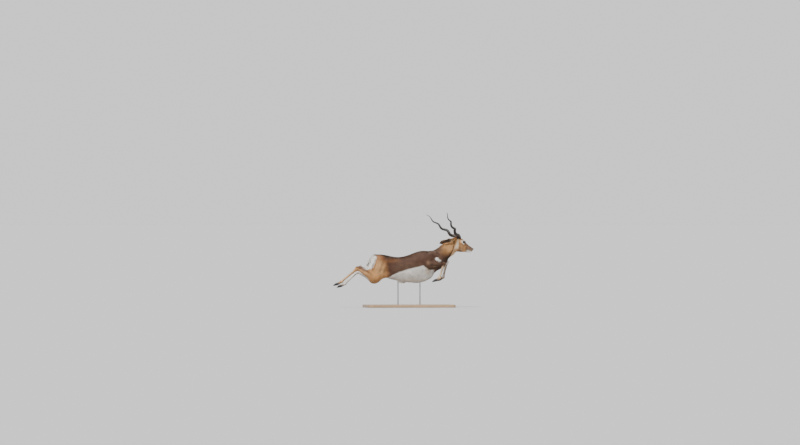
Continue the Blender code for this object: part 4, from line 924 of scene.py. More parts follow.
def makeClaw(name, leg, side):
    axes = frameAlong(leg["tip"] - leg["coronet"])
    if axes[2, 2] < 0:
        axes[:, 1:] *= -1
    side *= math.copysign(1, axes[1, 1])
    points = []
    rows, turns, gap = clawSizes["rows"], clawSizes["turns"], clawSizes["gap"]
    start, end = clawRows[0, 0], clawRows[-1, 0]
    for k in range(rows + 1):
        along = start + (end - start) * k / rows
        low, high, wide = (np.interp(along, clawRows[:, 0], clawRows[:, c]) for c in (1, 2, 3))
        ring = clawSizes["ring"] * math.sin(along * clawSizes["ringPace"]) * (1.0 - k / rows)
        middle, tall = 0.5 * (low + high), 0.5 * (high - low) + ring
        wide += ring
        section = []
        for j in range(turns + 1):
            angle = math.pi * (0.5 - j / turns)
            section.append((gap + wide * max(math.cos(angle), 0.0) ** 0.8, middle + tall * math.sin(angle)))
        section += [(gap, low + (high - low) * (1.0 - share)) for share in (0.75, 0.5, 0.25)]
        points += [leg["coronet"] + axes @ np.array([along, across * side, up]) for across, up in section]
    count = turns + 4
    faces = tubeFaces(rows, count) + [tuple(range(count)),
                                      tuple(range(len(points) - 1, len(points) - count - 1, -1))]
    return outwards(pieceFrom(name, points, faces))


# The lie of the coat: stretches from nose to tail and down the legs; radius says how far each one reaches

def lieParts():
    rows = [
        ("head", 0, onHead(0.245, 0.0, -0.036), onHead(-0.020, 0.0, -0.045), 0.050),
        ("neck", 0, onNeck(0.275, 0.0, -0.010), onNeck(0.035, 0.0, -0.015), 0.072),
        ("trunk", 0, (0.385, 0.0, 0.490), (-0.345, 0.0, 0.465), 0.130),
        ("tail", 0, (-0.340, 0.0, 0.515), (-0.397, 0.005, 0.400), 0.016),
    ]
    for side, fore, hind in ((-1, foreRight, hindRight), (1, foreLeft, hindLeft)):
        rows.append(("shoulder", side, (0.330, 0.085 * side, 0.560), fore["elbow"], 0.045))
        for name, leg, start, end, radius in (
                ("forearm", fore, "elbow", "knee", 0.030), ("foreCannon", fore, "knee", "fetlock", 0.017),
                ("foreFoot", fore, "fetlock", "tip", 0.017), ("thigh", hind, "hip", "stifle", 0.072),
                ("shank", hind, "stifle", "hock", 0.040), ("hindCannon", hind, "hock", "fetlock", 0.018),
                ("hindFoot", hind, "fetlock", "tip", 0.017)):
            rows.append((name, side, leg[start], leg[end], radius))
    rows += [("ear", side, earFoot(side), earFoot(side) + earLie(side) * animal["earLength"], 0.022)
             for side in (-1, 1)]
    return [{"name": name, "side": side, "path": (np.array(start), np.array(end)), "radius": radius,
             "way": unit(np.array(end) - np.array(start))} for name, side, start, end, radius in rows]


allParts = lieParts()
parts = allParts[:-2]  # without the ears
partNames = np.array([part["name"] for part in allParts])


def partWeights(points):  # how much each stretch has to say at each point; rows add up to one
    weights = np.empty((len(points), len(parts)))
    for k, part in enumerate(parts):
        away = distanceTo(points, *part["path"])[0] / part["radius"]
        weights[:, k] = np.exp(-1.5 * away ** 2) + 1e-9 / (1.0 + away ** 2)
        if part["side"]:  # a leg has no say on the other side of the body
            weights[:, k] *= 0.02 + 0.98 * rise(points[:, 1] * part["side"], 0.004, 0.02)
    a = (points - headPoll) @ headAxes[:, 0]  # the face is the head's alone
    weights[:, 0] *= rise(a, -0.020, 0.022)
    weights[:, 1:] *= fade(a, -0.004, 0.022)[:, None] + 1e-9
    return weights / weights.sum(axis=1)[:, None]


def flatOn(ways, normals):  # the part of each way that lies in the skin
    return units(ways - normals * (ways * normals).sum(axis=1)[:, None])


def lieAt(normals, weights):
    lie = weights @ np.array([part["way"] for part in parts])
    body = weights[:, np.isin(partNames[:len(parts)], ("trunk", "thigh", "neck"))].sum(axis=1)
    lie[:, 2] -= 0.42 * np.abs(normals[:, 1]) * body  # the hair hangs a little
    return flatOn(lie, normals)


# Markings, one function for skin and coat; colours are linear

shades = {
    "dark": (0.106, 0.051, 0.031), "deep": (0.030, 0.016, 0.011), "rust": (0.275, 0.118, 0.050),
    "tan": (0.58, 0.290, 0.110), "pale": (0.73, 0.47, 0.24), "cream": (0.80, 0.66, 0.47),
    "white": (0.88, 0.83, 0.76), "grey": (0.155, 0.100, 0.074), "black": (0.013, 0.011, 0.010),
    "skinGrey": (0.055, 0.045, 0.042), "smoke": (0.150, 0.088, 0.056),
}
shades = {name: np.array(colour) for name, colour in shades.items()}


def plain(points, shade):
    return np.tile(shades[shade], (len(points), 1))


def tint(colour, shade, amount):  # in place
    colour += (shades[shade] - colour) * np.clip(amount, 0.0, 1.0)[:, None]
    return colour


def oval(a, b, centre, radii, soft, tilt=0.0):  # one inside an oval, nothing outside
    c, s = math.cos(tilt), math.sin(tilt)
    x, y = a - centre[0], b - centre[1]
    return fade(np.hypot((x * c + y * s) / radii[0], (y * c - x * s) / radii[1]), 1.0, soft)


def mirrorEdge(z):  # front edge of the white patch round the tail
    return np.interp(z, (0.385, 0.42, 0.48, 0.535, 0.56), (-0.420, -0.338, -0.314, -0.300, -0.330))


def trunkColour(points):
    x, y, z = points.T
    ay = np.abs(y)
    colour = plain(points, "dark")
    # painted highlight: a greyer sheen along the top of the withers and back
    tint(colour, "grey", 0.45 * rise(z, 0.560, 0.04) * rise(x, 0.05, 0.16))
    tint(colour, "deep", 0.45 * rise(z, 0.515, 0.030) * fade(x, 0.02, 0.16))
    # rust-brown streak under the dark back line
    tint(colour, "rust", 0.70 * (rise(z, 0.470, 0.026) * fade(z, 0.502, 0.022) * rise(x, -0.27, 0.06)
                                 * fade(x, -0.07, 0.12)))
    tint(colour, "smoke", 0.55 * fade(z, 0.455, 0.05) * rise(x, -0.12, 0.08))
    # tan rump and thighs, browner on top and in front, with a painted highlight on the middle of the thigh and painted
    # shade towards its bottom
    front = np.interp(z, (0.30, 0.33, 0.37, 0.44, 0.53, 0.56), (-0.165, -0.170, -0.172, -0.184, -0.218, -0.235))
    rear = fade(x - front, -0.010, 0.062)
    # painted highlight: paler middle of the thigh, where its bulge faces the light
    back = tint(plain(points, "tan"), "pale", 0.40 * oval(x, z, (-0.260, 0.415), (0.055, 0.075), 1.0))
    tint(back, "rust", 0.62 * rise(z, 0.485, 0.06) + 0.45 * rise(x - front, -0.050, 0.05))
    tint(back, "dark", 0.55 * rise(z, 0.543, 0.02) * rise(x, -0.30, 0.06))
    # painted shade: darker smoke towards the bottom of the thigh and the stifle
    tint(back, "smoke", 0.58 * fade(z, 0.268, 0.070))
    colour += (back - colour) * rear[:, None]
    # elbow and shoulder
    tint(colour, "smoke", 0.60 * oval(x, z, (0.246, 0.463), (0.030, 0.024), 0.9))
    tint(colour, "tan", 0.10 * oval(x, z, (0.236, 0.470), (0.012, 0.016), 0.9))
    tint(colour, "deep", 0.45 * oval(x, z, (0.295, 0.448), (0.040, 0.016), 0.6))
    # white belly, its edge sharp on the flank
    edge = np.interp(x, (-0.40, -0.24, -0.187, -0.134, -0.063, 0.042, 0.148, 0.188, 0.228, 0.262, 0.30, 0.36),
                     (0.285, 0.290, 0.306, 0.338, 0.370, 0.404, 0.427, 0.440, 0.410, 0.394, 0.396, 0.410))
    belly = fade(z, edge, 0.010)
    belly *= 1.0 - rise(x, 0.315, 0.03) * rise(z, 0.372, 0.02)
    belly *= 1.0 - rear * rise(ay, 0.036, 0.014)
    tint(colour, "white", belly)
    tint(colour, "pale", 0.38 * (oval(x, z, (0.240, 0.384), (0.030, 0.038), 0.8) * rise(ay, 0.05, 0.03)) * belly)
    tint(colour, "deep", 0.55 * rise(x, 0.350, 0.05) * rise(z, 0.40, 0.03) * fade(ay, 0.055, 0.03))
    # inside of the thighs
    tint(colour, "white", fade(ay, 0.040, 0.012) * fade(z, 0.445, 0.03) * fade(x, -0.13, 0.04))
    # white patch on the shoulder and white mirror round the tail
    patch = np.maximum(oval(x, z, (0.336, 0.507), (0.021, 0.015), 0.5, -0.5),
                       oval(x, z, (0.364, 0.492), (0.021, 0.0085), 0.7, -0.3))
    tint(colour, "white", patch * rise(ay, 0.045, 0.02))
    return tint(colour, "white", fade(x - mirrorEdge(z), 0.0, 0.010) * fade(z, 0.546, 0.010))


def flatDistance(a, b, start, end):  # to a stretch on the side view
    return distanceTo(np.column_stack([a, b, np.zeros_like(a)]), np.array([*start, 0.0]), np.array([*end, 0.0]))


# Dark stripe down the side of the neck: along, up, half width
neckStripe = [(0.268, 0.034, 0.0050), (0.246, 0.010, 0.0060), (0.223, -0.010, 0.0070), (0.187, -0.041, 0.0095),
              (0.150, -0.060, 0.0130), (0.105, -0.072, 0.0170)]


def neckColour(points):
    na, ns, nh = inNeck(points)
    colour = plain(points, "tan")
    tint(colour, "rust", 0.40 * rise(nh, 0.045, 0.03))
    tint(colour, "pale", 0.30 * oval(na, nh, (0.20, 0.0), (0.07, 0.03), 1.0))
    tint(colour, "smoke", 0.55 * fade(nh, -0.030, 0.035) * fade(na, 0.21, 0.06))
    border = np.interp(nh, (-0.10, 0.015, 0.050, 0.070), (0.045, 0.018, 0.045, 0.020))
    tint(colour, "dark", fade(na - border, 0.0, 0.040))
    tint(colour, "deep", 0.9 * fade(np.abs(ns), 0.036, 0.02) * fade(nh, -0.045, 0.02) * fade(na, 0.200, 0.03))
    for one, two in zip(neckStripe, neckStripe[1:]):
        away, share = flatDistance(na, nh, one[:2], two[:2])
        width = one[2] + (two[2] - one[2]) * share
        tint(colour, "deep", 0.92 * fade(away / width, 1.0, 0.7))
    return colour


def nosePad(a, h):
    return rise(a, 0.2300, 0.006) * rise(h, -0.0485, 0.003)


def headColour(points):
    a, s, h = inHead(points)
    side = np.abs(s)
    colour = plain(points, "tan")
    # cream band from behind the eye down to the throat, and cheek
    front = np.interp(h, (-0.110, -0.080, -0.020, 0.02), (0.056, 0.048, 0.030, 0.026))
    band = rise(a, 0.009, 0.014) * fade(a - front, -0.004, 0.018) * fade(h, 0.004, 0.012)
    tint(colour, "cream", 0.97 * (band * (0.25 + 0.75 * rise(h, -0.100, 0.050))))
    tint(colour, "cream", 0.50 * oval(a, h, (0.062, -0.008), (0.018, 0.012), 0.9))
    cheek = rise(a - front, 0.004, 0.012) * fade(a, 0.105, 0.04)
    tint(colour, "smoke", 0.62 * cheek * fade(h, -0.030, 0.02))
    tint(colour, "tan", 0.45 * oval(a, h, (0.078, -0.058), (0.022, 0.016), 0.8))
    tint(colour, "cream", 0.16 * oval(a, h, (0.088, -0.090), (0.020, 0.008), 1.2))
    # muzzle, greyer towards the nose; brow and bridge
    top = rise(h, np.interp(a, (0.05, 0.10, 0.16, 0.24), (0.004, -0.004, -0.022, -0.030)), 0.014)
    face = rise(a + 0.66 * (h + 0.03), 0.125, 0.022)
    tint(colour, "smoke", 0.75 * face)
    tint(colour, "grey", 0.70 * rise(a, 0.175, 0.03) * face)
    tint(colour, "smoke", 0.72 * top * rise(a, 0.030, 0.03))
    tint(colour, "tan", 0.40 * top * oval(a, side, (0.060, 0.0), (0.035, 0.020), 0.9))
    tint(colour, "dark", 0.55 * top * rise(a, 0.100, 0.05) * fade(side, 0.012, 0.010))
    # jaw: white chin and lower lip, dark line under the cheek
    lip = np.interp(a, (0.140, 0.160, 0.183, 0.206, 0.237, 0.245),
                    (-0.066, -0.0615, -0.0580, -0.0565, -0.0520, -0.0500))
    tint(colour, "white", rise(a + 0.9 * (h + 0.06), 0.160, 0.050) * fade(h, lip + 0.0005, 0.003))
    tint(colour, "cream", 0.45 * rise(a, 0.165, 0.04) * fade(np.abs(h - lip - 0.0045), 0.0030, 0.004))
    tint(colour, "dark", 0.60 * fade(flatDistance(a, h, (0.071, -0.116), (0.114, -0.104))[0], 0.006, 0.006))
    # poll, tuft between the horns, throat
    tint(colour, "dark", 0.70 * rise(h, 0.008, 0.012) * fade(a, 0.050, 0.03) * rise(a, -0.012, 0.02))
    tint(colour, "deep", 0.80 * fade(np.abs(side - 0.027), 0.019, 0.006)
         * oval(a, h, (0.024, 0.020), (0.025, 0.018), 0.4))
    # white ring round the eye, broken before it by the gland; nostril
    for way in (-1, 1):
        local = (points - eyePlace(way)) @ eyeAxes(way)
        ring = np.hypot(local[:, 1] * 0.84 + 0.001, (local[:, 2] + 0.0005) * 1.02)
        near = (local[:, 0] > -0.012).astype(float)
        amount = rise(ring, 0.0130, 0.0020) * fade(ring, 0.0215, 0.0065) * near
        tint(colour, "white", 0.97 * amount * (1.0 - 0.6 * rise(local[:, 1], 0.014, 0.006)))
        tint(colour, "black", 0.96 * near * fade(ring, 0.0134, 0.0022))
        gland = distanceTo(points, onHead(0.106, 0.0495 * way, -0.015), onHead(0.127, 0.0415 * way, -0.0275))[0]
        tint(colour, "deep", 0.95 * fade(gland, 0.0062, 0.0040))
        hole = distanceTo(points, onHead(0.2440, 0.0110 * way, -0.0290), onHead(0.2290, 0.0190 * way, -0.0213))[0]
        tint(colour, "black", 0.95 * fade(hole, 0.0052, 0.0030))
    # nose pad and line of the mouth
    tint(colour, "skinGrey", 0.95 * nosePad(a, h))
    mouth = np.abs(h - lip) / np.where(a < 0.145, 0.001, 0.0022)
    return tint(colour, "deep", 0.9 * rise(a, 0.146, 0.006) * fade(mouth, 1.0, 0.5) * rise(side, 0.010, 0.004))


def legColour(points, part):
    name, way = part["name"], part["way"]
    start, end = part["path"]
    share = distanceTo(points, start, end)[1]
    local = points - start - share[:, None] * (end - start)
    thick = {"Cannon": 0.0105, "Foot": 0.0135}.get(name[4:], part["radius"])
    outer = local[:, 1] * part["side"] / thick  # 1 outside, -1 inside
    front = unit(np.cross(way, (0.0, 1.0, 0.0)))
    ahead = (local @ (front if front[0] >= 0 else -front)) / thick
    if name == "forearm":
        up = local[:, 2] / part["radius"]
        colour = plain(points, "dark")
        tint(colour, "smoke", 0.45 * oval(share, up, (0.35, 0.1), (0.4, 0.5), 0.9))
        tint(colour, "deep", 0.50 * rise(up, 0.45, 0.3))
        tint(colour, "white", fade(outer, -0.28, 0.25))
        return tint(colour, "pale", 0.30 * fade(up, -0.62, 0.25))
    if name == "shank":
        upwards = unit(np.cross((0.0, 1.0, 0.0), way))
        up = (local @ upwards) / (0.038 - 0.020 * share) * np.sign(upwards[2])
        colour = plain(points, "tan")
        tint(colour, "pale", 0.35 * oval(share, up, (0.55, -0.2), (0.3, 0.4), 0.9))
        # painted shade: darker smoke on the outside of the shank next to the stifle, under the thigh
        tint(colour, "smoke", 0.60 * fade(share, 0.22, 0.25) * rise(outer, 0.1, 0.3))
        tint(colour, "dark", 0.85 * rise(up, 0.52 - 0.20 * share, 0.30) * rise(share, 0.25, 0.3))
        return tint(colour, "white", 0.97 * fade(outer, -0.12, 0.25))
    if name.startswith("fore"):
        colour = plain(points, "pale")
        tint(colour, "cream", 0.55 * rise(outer, 0.0, 0.6))
        tint(colour, "white", 0.80 * fade(outer, -0.45, 0.3) * fade(ahead, 0.0, 0.3))
        tint(colour, "dark", 0.85 * rise(ahead, 0.05, 0.30) * (1.0 - 0.60 * rise(outer, 0.30, 0.3)))
    else:
        colour = plain(points, "tan")
        tint(colour, "pale", 0.6 * rise(share, 0.25, 0.4))
        tint(colour, "dark", 0.80 * rise(ahead, 0.25, 0.25) * (0.55 + 0.45 * fade(outer, 0.4, 0.4)))
        tint(colour, "white", 0.95 * fade(outer, -0.10, 0.30) * fade(ahead, 0.5, 0.3))
        tint(colour, "white", 0.50 * fade(ahead, -0.80, 0.35))
    if name.endswith("Foot"):  # brown pastern, darker over the claws
        tint(colour, "smoke", 0.60 * rise(share, 0.15, 0.2))
        tint(colour, "deep", 0.80 * rise(share, 0.40, 0.15))
    return colour


def tailColour(points, part):
    local = points - part["path"][0]
    across = unit(np.cross((0.0, 1.0, 0.0), part["way"]))
    behind = (local @ across) * np.sign(across[0]) * -1.0
    return tint(plain(points, "white"), "dark",
                0.20 * (rise(behind, -0.002, 0.006) * fade(np.abs(local[:, 1]), 0.011, 0.005)))


def partColour(points, part):
    name = part["name"]
    if name in ("trunk", "shoulder", "thigh"):
        return trunkColour(points)
    if name in ("head", "neck"):
        return headColour(points) if name == "head" else neckColour(points)
    return tailColour(points, part) if name == "tail" else legColour(points, part)


def markings(points):
    sharp = partWeights(points) ** 2.5
    sharp /= sharp.sum(axis=1)[:, None]
    colours = np.zeros((len(points), 3))
    for k, part in enumerate(parts):
        near = np.flatnonzero(sharp[:, k] > 0.002)
        if near.size:
            colours[near] += partColour(points[near], part) * sharp[near, k][:, None]
    return np.clip(colours, 0.004, 0.95)


# Materials; each makes its own small node tree. A socket given as a value is linked, a number is set

def give(tree, socket, value):
    if isinstance(value, bpy.types.NodeSocket):
        tree.links.new(value, socket)
    else:
        socket.default_value = value


def newMaterial(name, **values):
    material = bpy.data.materials.new(name)
    material.use_nodes = True
    tree = material.node_tree
    shader = tree.nodes["Principled BSDF"]
    feed(tree, shader, **values)
    return material, tree, shader


def feed(tree, item, **values):  # underscores stand for spaces
    for name, value in values.items():
        key = name.replace("_", " ")
        if key in item.inputs:
            give(tree, item.inputs[key], value)
        else:
            setattr(item, name, value)
    return item


def node(tree, kind, **values):
    return feed(tree, tree.nodes.new("ShaderNode" + kind), **values)


def objectPlace(tree):
    return node(tree, "TexCoord").outputs["Object"]


def noise(tree, scale, detail=3.0, stretch=None):  # in object coordinates
    source = objectPlace(tree)
    if stretch:
        source = node(tree, "Mapping", Scale=stretch, Vector=source).outputs["Vector"]
    return node(tree, "TexNoise", Scale=scale, Detail=detail, Vector=source).outputs["Fac"]


def spread(tree, value, low, high, fromLow=0.0, fromHigh=1.0):
    return node(tree, "MapRange", Value=value, From_Min=fromLow, From_Max=fromHigh, To_Min=low,
                To_Max=high).outputs["Result"]


def mixed(tree, a, b, amount):
    item = node(tree, "Mix", data_type="RGBA", blend_type="MIX")
    for k, value in ((6, a), (7, b), (0, amount)):
        give(tree, item.inputs[k], value if isinstance(value, bpy.types.NodeSocket) else (*value, 1.0))
    return item.outputs[2]


def maths(tree, kind, a, b=0.5, clamp=False):
    item = node(tree, "Math", operation=kind, use_clamp=clamp)
    give(tree, item.inputs[0], a)
    give(tree, item.inputs[1], b)
    return item.outputs[0]


def squares(tree, a, b):
    return maths(tree, "ADD", maths(tree, "MULTIPLY", a, a), maths(tree, "MULTIPLY", b, b))


def addBump(tree, shader, height, strength, distance, **after):
    bump = node(tree, "Bump", Strength=strength, Distance=distance, Height=height, **after)
    feed(tree, shader, Normal=bump.outputs["Normal"])
    return bump.outputs["Normal"]


def attribute(tree, name, output):
    return node(tree, "Attribute", attribute_name=name).outputs[output]


def attributeParts(tree, name):
    item = node(tree, "SeparateXYZ")
    tree.links.new(attribute(tree, name, "Vector"), item.inputs[0])
    return item.outputs


coatFinish = {"speckle": 0.22, "patch": 0.16, "bump": 0.55, "bumpDepth": 0.0012, "roughness": 0.62, "sheen": 0.12}


def coatMaterial(name, bump):
    material, tree, shader = newMaterial(name, Roughness=coatFinish["roughness"], Specular_IOR_Level=0.22)
    colour = attribute(tree, "coatColour", "Color")
    fine, broad = (spread(tree, noise(tree, scale, detail), 1.0 - coatFinish[kind], 1.0 + coatFinish[kind], 0.3, 0.7)
                   for scale, detail, kind in ((900.0, 2.0, "speckle"), (24.0, 3.0, "patch")))
    shade = node(tree, "VectorMath", operation="SCALE", Scale=maths(tree, "MULTIPLY", fine, broad))
    tree.links.new(colour, shade.inputs[0])
    feed(tree, shader, Base_Color=shade.outputs[0], Sheen_Weight=coatFinish["sheen"], Sheen_Roughness=0.45,
         Sheen_Tint=(1.0, 0.93, 0.84, 1.0))
    if bump:
        wet = attribute(tree, "wet", "Fac")
        feed(tree, shader, Roughness=spread(tree, wet, coatFinish["roughness"], 0.33))
        pebbles = node(tree, "TexVoronoi", Scale=900.0, Vector=objectPlace(tree)).outputs["Distance"]
        normal = addBump(tree, shader, noise(tree, 420.0, 4.0), coatFinish["bump"], coatFinish["bumpDepth"])
        addBump(tree, shader, maths(tree, "MULTIPLY", pebbles, wet), 0.35, 0.0006, Normal=normal)
    return material


def hornMaterial():
    material, tree, shader = newMaterial("hornRinged", Roughness=0.42, Specular_IOR_Level=0.4)
    t, swell = attributeParts(tree, "hornSpace")[:2]
    ramp = node(tree, "ValToRGB", Fac=t)
    ramp.color_ramp.elements[0].color = (0.060, 0.044, 0.034, 1.0)
    ramp.color_ramp.elements[1].color = (0.026, 0.024, 0.024, 1.0)
    ramp.color_ramp.elements[1].position = 0.30
    worn = mixed(tree, ramp.outputs[0], (0.115, 0.095, 0.078), spread(tree, swell, 0.0, 0.75, 0.55, 1.0))
    streaked = mixed(tree, worn, (0.010, 0.009, 0.009), spread(tree, noise(tree, 60.0, 4.0), 0.0, 0.75, 0.42, 0.70))
    feed(tree, shader, Base_Color=streaked, Roughness=spread(tree, noise(tree, 180.0), 0.30, 0.58))
    addBump(tree, shader, noise(tree, 700.0), 0.45, 0.0008)
    return material


def hoofMaterial():
    material, tree, shader = newMaterial("hoofBlack", Roughness=0.4, Specular_IOR_Level=0.45)
    reach = attributeParts(tree, "hoofSpace")["X"]
    body = mixed(tree, (0.060, 0.048, 0.040), (0.016, 0.0145, 0.0135), spread(tree, reach, 0.0, 1.0, 0.0, 0.18))
    scuffs = maths(tree, "MULTIPLY", spread(tree, reach, 0.0, 0.75, 0.6, 1.0),
                   spread(tree, noise(tree, 160.0, 4.0), 0.0, 1.0, 0.45, 0.65), True)
    feed(tree, shader, Base_Color=mixed(tree, body, (0.085, 0.074, 0.064), scuffs),
         Roughness=spread(tree, noise(tree, 240.0), 0.28, 0.60))
    addBump(tree, shader, noise(tree, 520.0), 0.30, 0.0005)
    return material


eyeFinish = {"iris": 0.0100, "pupilLong": 0.0058, "pupilTall": 0.0034, "roughness": 0.07}


def eyeMaterial():
    material, tree, shader = newMaterial("eyeWet", Roughness=eyeFinish["roughness"], Specular_IOR_Level=0.40)
    long, tall = attributeParts(tree, "eyeSpace")[1:]
    away = maths(tree, "SQRT", squares(tree, long, tall))
    pupil = squares(tree, maths(tree, "DIVIDE", long, eyeFinish["pupilLong"]),
                    maths(tree, "DIVIDE", tall, eyeFinish["pupilTall"]))
    rays, edge = noise(tree, 260.0, 4.0), eyeFinish["iris"]
    colour = mixed(tree, (0.012, 0.006, 0.003), (0.034, 0.015, 0.007), spread(tree, rays, 0.0, 1.0, 0.35, 0.65))
    colour = mixed(tree, colour, (0.006, 0.004, 0.003), spread(tree, away, 0.0, 1.0, edge - 0.0016, edge))
    colour = mixed(tree, colour, (0.040, 0.027, 0.022), spread(tree, away, 0.0, 1.0, edge + 0.0006, edge + 0.0018))
    colour = mixed(tree, (0.0025, 0.0025, 0.003), colour, spread(tree, pupil, 0.0, 1.0, 0.85, 1.15))
    feed(tree, shader, Base_Color=colour)
    addBump(tree, shader, rays, 0.04, 0.0002)
    return material


def woodMaterial():
    material, tree, shader = newMaterial("standOak", Roughness=0.45, Specular_IOR_Level=0.4, Coat_Weight=0.25,
                                         Coat_Roughness=0.22)
    bend = noise(tree, 3.0, 2.0, (0.6, 2.0, 2.0))
    source = node(tree, "Mapping", Scale=(0.5, 9.0, 9.0), Vector=objectPlace(tree)).outputs["Vector"]
    rings = node(tree, "TexWave", Scale=0.42, Distortion=7.0, Detail=3.0, Vector=source, wave_type="BANDS",
                 bands_direction="Y").outputs["Fac"]
    fine = noise(tree, 260.0, 4.0, (0.06, 1.0, 1.0))
    colour = mixed(tree, (0.30, 0.180, 0.095), (0.43, 0.285, 0.165), rings)
    colour = mixed(tree, colour, (0.22, 0.125, 0.065), spread(tree, fine, 0.0, 0.55, 0.45, 0.70))
    colour = mixed(tree, colour, (0.48, 0.33, 0.20), spread(tree, bend, 0.0, 0.35, 0.40, 0.70))
    feed(tree, shader, Base_Color=colour, Roughness=spread(tree, fine, 0.34, 0.58))
    addBump(tree, shader, fine, 0.25, 0.0006)
    return material


def steelMaterial():
    material, tree, shader = newMaterial("standSteel", Roughness=0.3, Specular_IOR_Level=0.5, Metallic=1.0)
    brushed = noise(tree, 1800.0, 2.0, (1.0, 1.0, 0.02))
    colour = mixed(tree, (0.50, 0.51, 0.53), (0.66, 0.66, 0.67), spread(tree, brushed, 0.0, 1.0, 0.35, 0.65))
    smudge = spread(tree, noise(tree, 26.0), 0.0, 0.12, 0.4, 0.7)
    feed(tree, shader, Base_Color=colour,
         Roughness=maths(tree, "ADD", spread(tree, brushed, 0.20, 0.34), smudge))
    addBump(tree, shader, brushed, 0.10, 0.0002)
    return material


def storePlaces(piece, name, rows):  # a vector for every point, which materials read as an attribute
    stored = piece.data.attributes.new(name, "FLOAT_VECTOR", "POINT")
    stored.data.foreach_set("vector", np.asarray(rows, dtype=np.float32).ravel())


def storeColours(mesh, colours):
    stored = mesh.color_attributes.new("coatColour", "FLOAT_COLOR", "POINT")
    rows = np.column_stack([colours, np.ones(len(colours))]).astype(np.float32)
    stored.data.foreach_set("color", rows.ravel())


def rowsOf(items, key, wide, kind=float):
    rows = np.empty(len(items) * wide, dtype=kind)
    items.foreach_get(key, rows)
    return rows.reshape(-1, wide)


def placesOf(piece):
    return rowsOf(piece.data.vertices, "co", 3) - shift


def earColour(side, points, normals):  # tan outside, dark towards the tip, pale hair in the cup
    t = (points - earFoot(side)) @ earLie(side) / animal["earLength"]
    colour = tint(plain(points, "tan"), "dark", 0.85 * rise(t, 0.35, 0.35))
    tint(colour, "deep", 0.80 * rise(t, 0.55, 0.30))
    inner = tint(plain(points, "pale"), "smoke", 0.80 * rise(t, 0.25, 0.35))
    tint(inner, "deep", 0.88 * rise(t, 0.42, 0.28))
    colour += (inner - colour) * rise(normals @ earOpening(side), 0.10, 0.30)[:, None]
    return tint(colour, "tan", fade(t, 0.13, 0.10))


def makeSkin():
    whole = joinedSkin()
    points = settle(np.array([v.co for v in whole.verts]), 2, 0.003)
    whole.verts.index_update()
    faces = [[v.index for v in f.verts] for f in whole.faces]
    whole.free()
    flesh = len(points)
    for side in (-1, 1):
        earPoints, earFaces = earShell(side)
        faces += [[k + len(points) for k in face] for face in earFaces]
        points = np.vstack([points, earPoints])
    piece = pieceFrom("coatSkin", points, faces)
    normals = rowsOf(piece.data.vertex_normals, "vector", 3)
    colours = [markings(points[:flesh])]
    for side, some in zip((-1, 1), np.split(np.arange(flesh, len(points)), 2)):
        colours.append(earColour(side, points[some], normals[some]))
    storeColours(piece.data, np.vstack(colours))
    a, _, h = inHead(points)
    wet = nosePad(a, h)
    for side in (-1, 1):
        local = (points - eyePlace(side)) @ eyeAxes(side)
        rim = fade(np.hypot(local[:, 1] * 0.9, local[:, 2]), 0.0135, 0.002)
        wet = np.maximum(wet, 0.8 * rim * (local[:, 0] > 0.0))
    stored = piece.data.attributes.new("wet", "FLOAT", "POINT")
    stored.data.foreach_set("value", wet.astype(np.float32))
    return piece


skin = makeSkin()
skin.data.materials.append(coatMaterial("coatBare", True))
print("skin:", len(skin.data.vertices), "points,", sum(len(p.vertices) - 2 for p in skin.data.polygons), "triangles")


def hornSpace(side, points, atOnce=2000):  # share along the horn and height on the ring, for the finish
    line = np.array([hornPath(side, t) for t in np.linspace(0.0, 1.0, hornSizes["samples"])])
    rows = np.empty((len(points), 3))
    for start in range(0, len(points), atOnce):
        gaps = np.linalg.norm(points[start:start + atOnce, None, :] - line[None, :, :], axis=2)
        rows[start:start + atOnce, 0] = gaps.argmin(axis=1) / (len(line) - 1)
        rows[start:start + atOnce, 2] = gaps.min(axis=1)
    t = rows[:, 0]
    rows[:, 1] = np.clip((rows[:, 2] - hornRadius(t) + hornSizes["valley"]) / ringHeight(t), 0, 1)
    return rows


hornFinish, eyeWet, hoofFinish = hornMaterial(), eyeMaterial(), hoofMaterial()
horns = {word: makeHorn(word, side) for word, side in sides.items()}
eyes = {word: makeEye(word, side) for word, side in sides.items()}
claws = {}
for word, side in sides.items():
    storePlaces(horns[word], "hornSpace", hornSpace(side, placesOf(horns[word])))
    horns[word].data.materials.append(hornFinish)
    storePlaces(eyes[word], "eyeSpace", (placesOf(eyes[word]) - eyePlace(side)) @ eyeAxes(side))
    eyes[word].data.materials.append(eyeWet)
for (end, word), leg in zip(product(("fore", "hind"), sides), legs):
    for where, side in (("outer", sides[word]), ("inner", -sides[word])):
        claw = makeClaw("claw_%s_%s_%s" % (end, word, where), leg, side)
        reach = (placesOf(claw) - leg["coronet"]) @ unit(leg["tip"] - leg["coronet"])
        storePlaces(claw, "hoofSpace", np.column_stack([reach / clawSizes["length"]] * 3))
        claw.data.materials.append(hoofFinish)
        claws[end, word, where] = claw
print("horns, eyes and claws made")

wood, steel = woodMaterial(), steelMaterial()
for name, material in (("stand_base", wood), ("stand_rod_rear", steel), ("stand_rod_front", steel)):
    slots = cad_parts[name].data.materials
    if len(slots):
        slots[0] = material
    else:
        slots.append(material)


# Coat: short blades that lie along the body, then longer locks where the real ones stand out

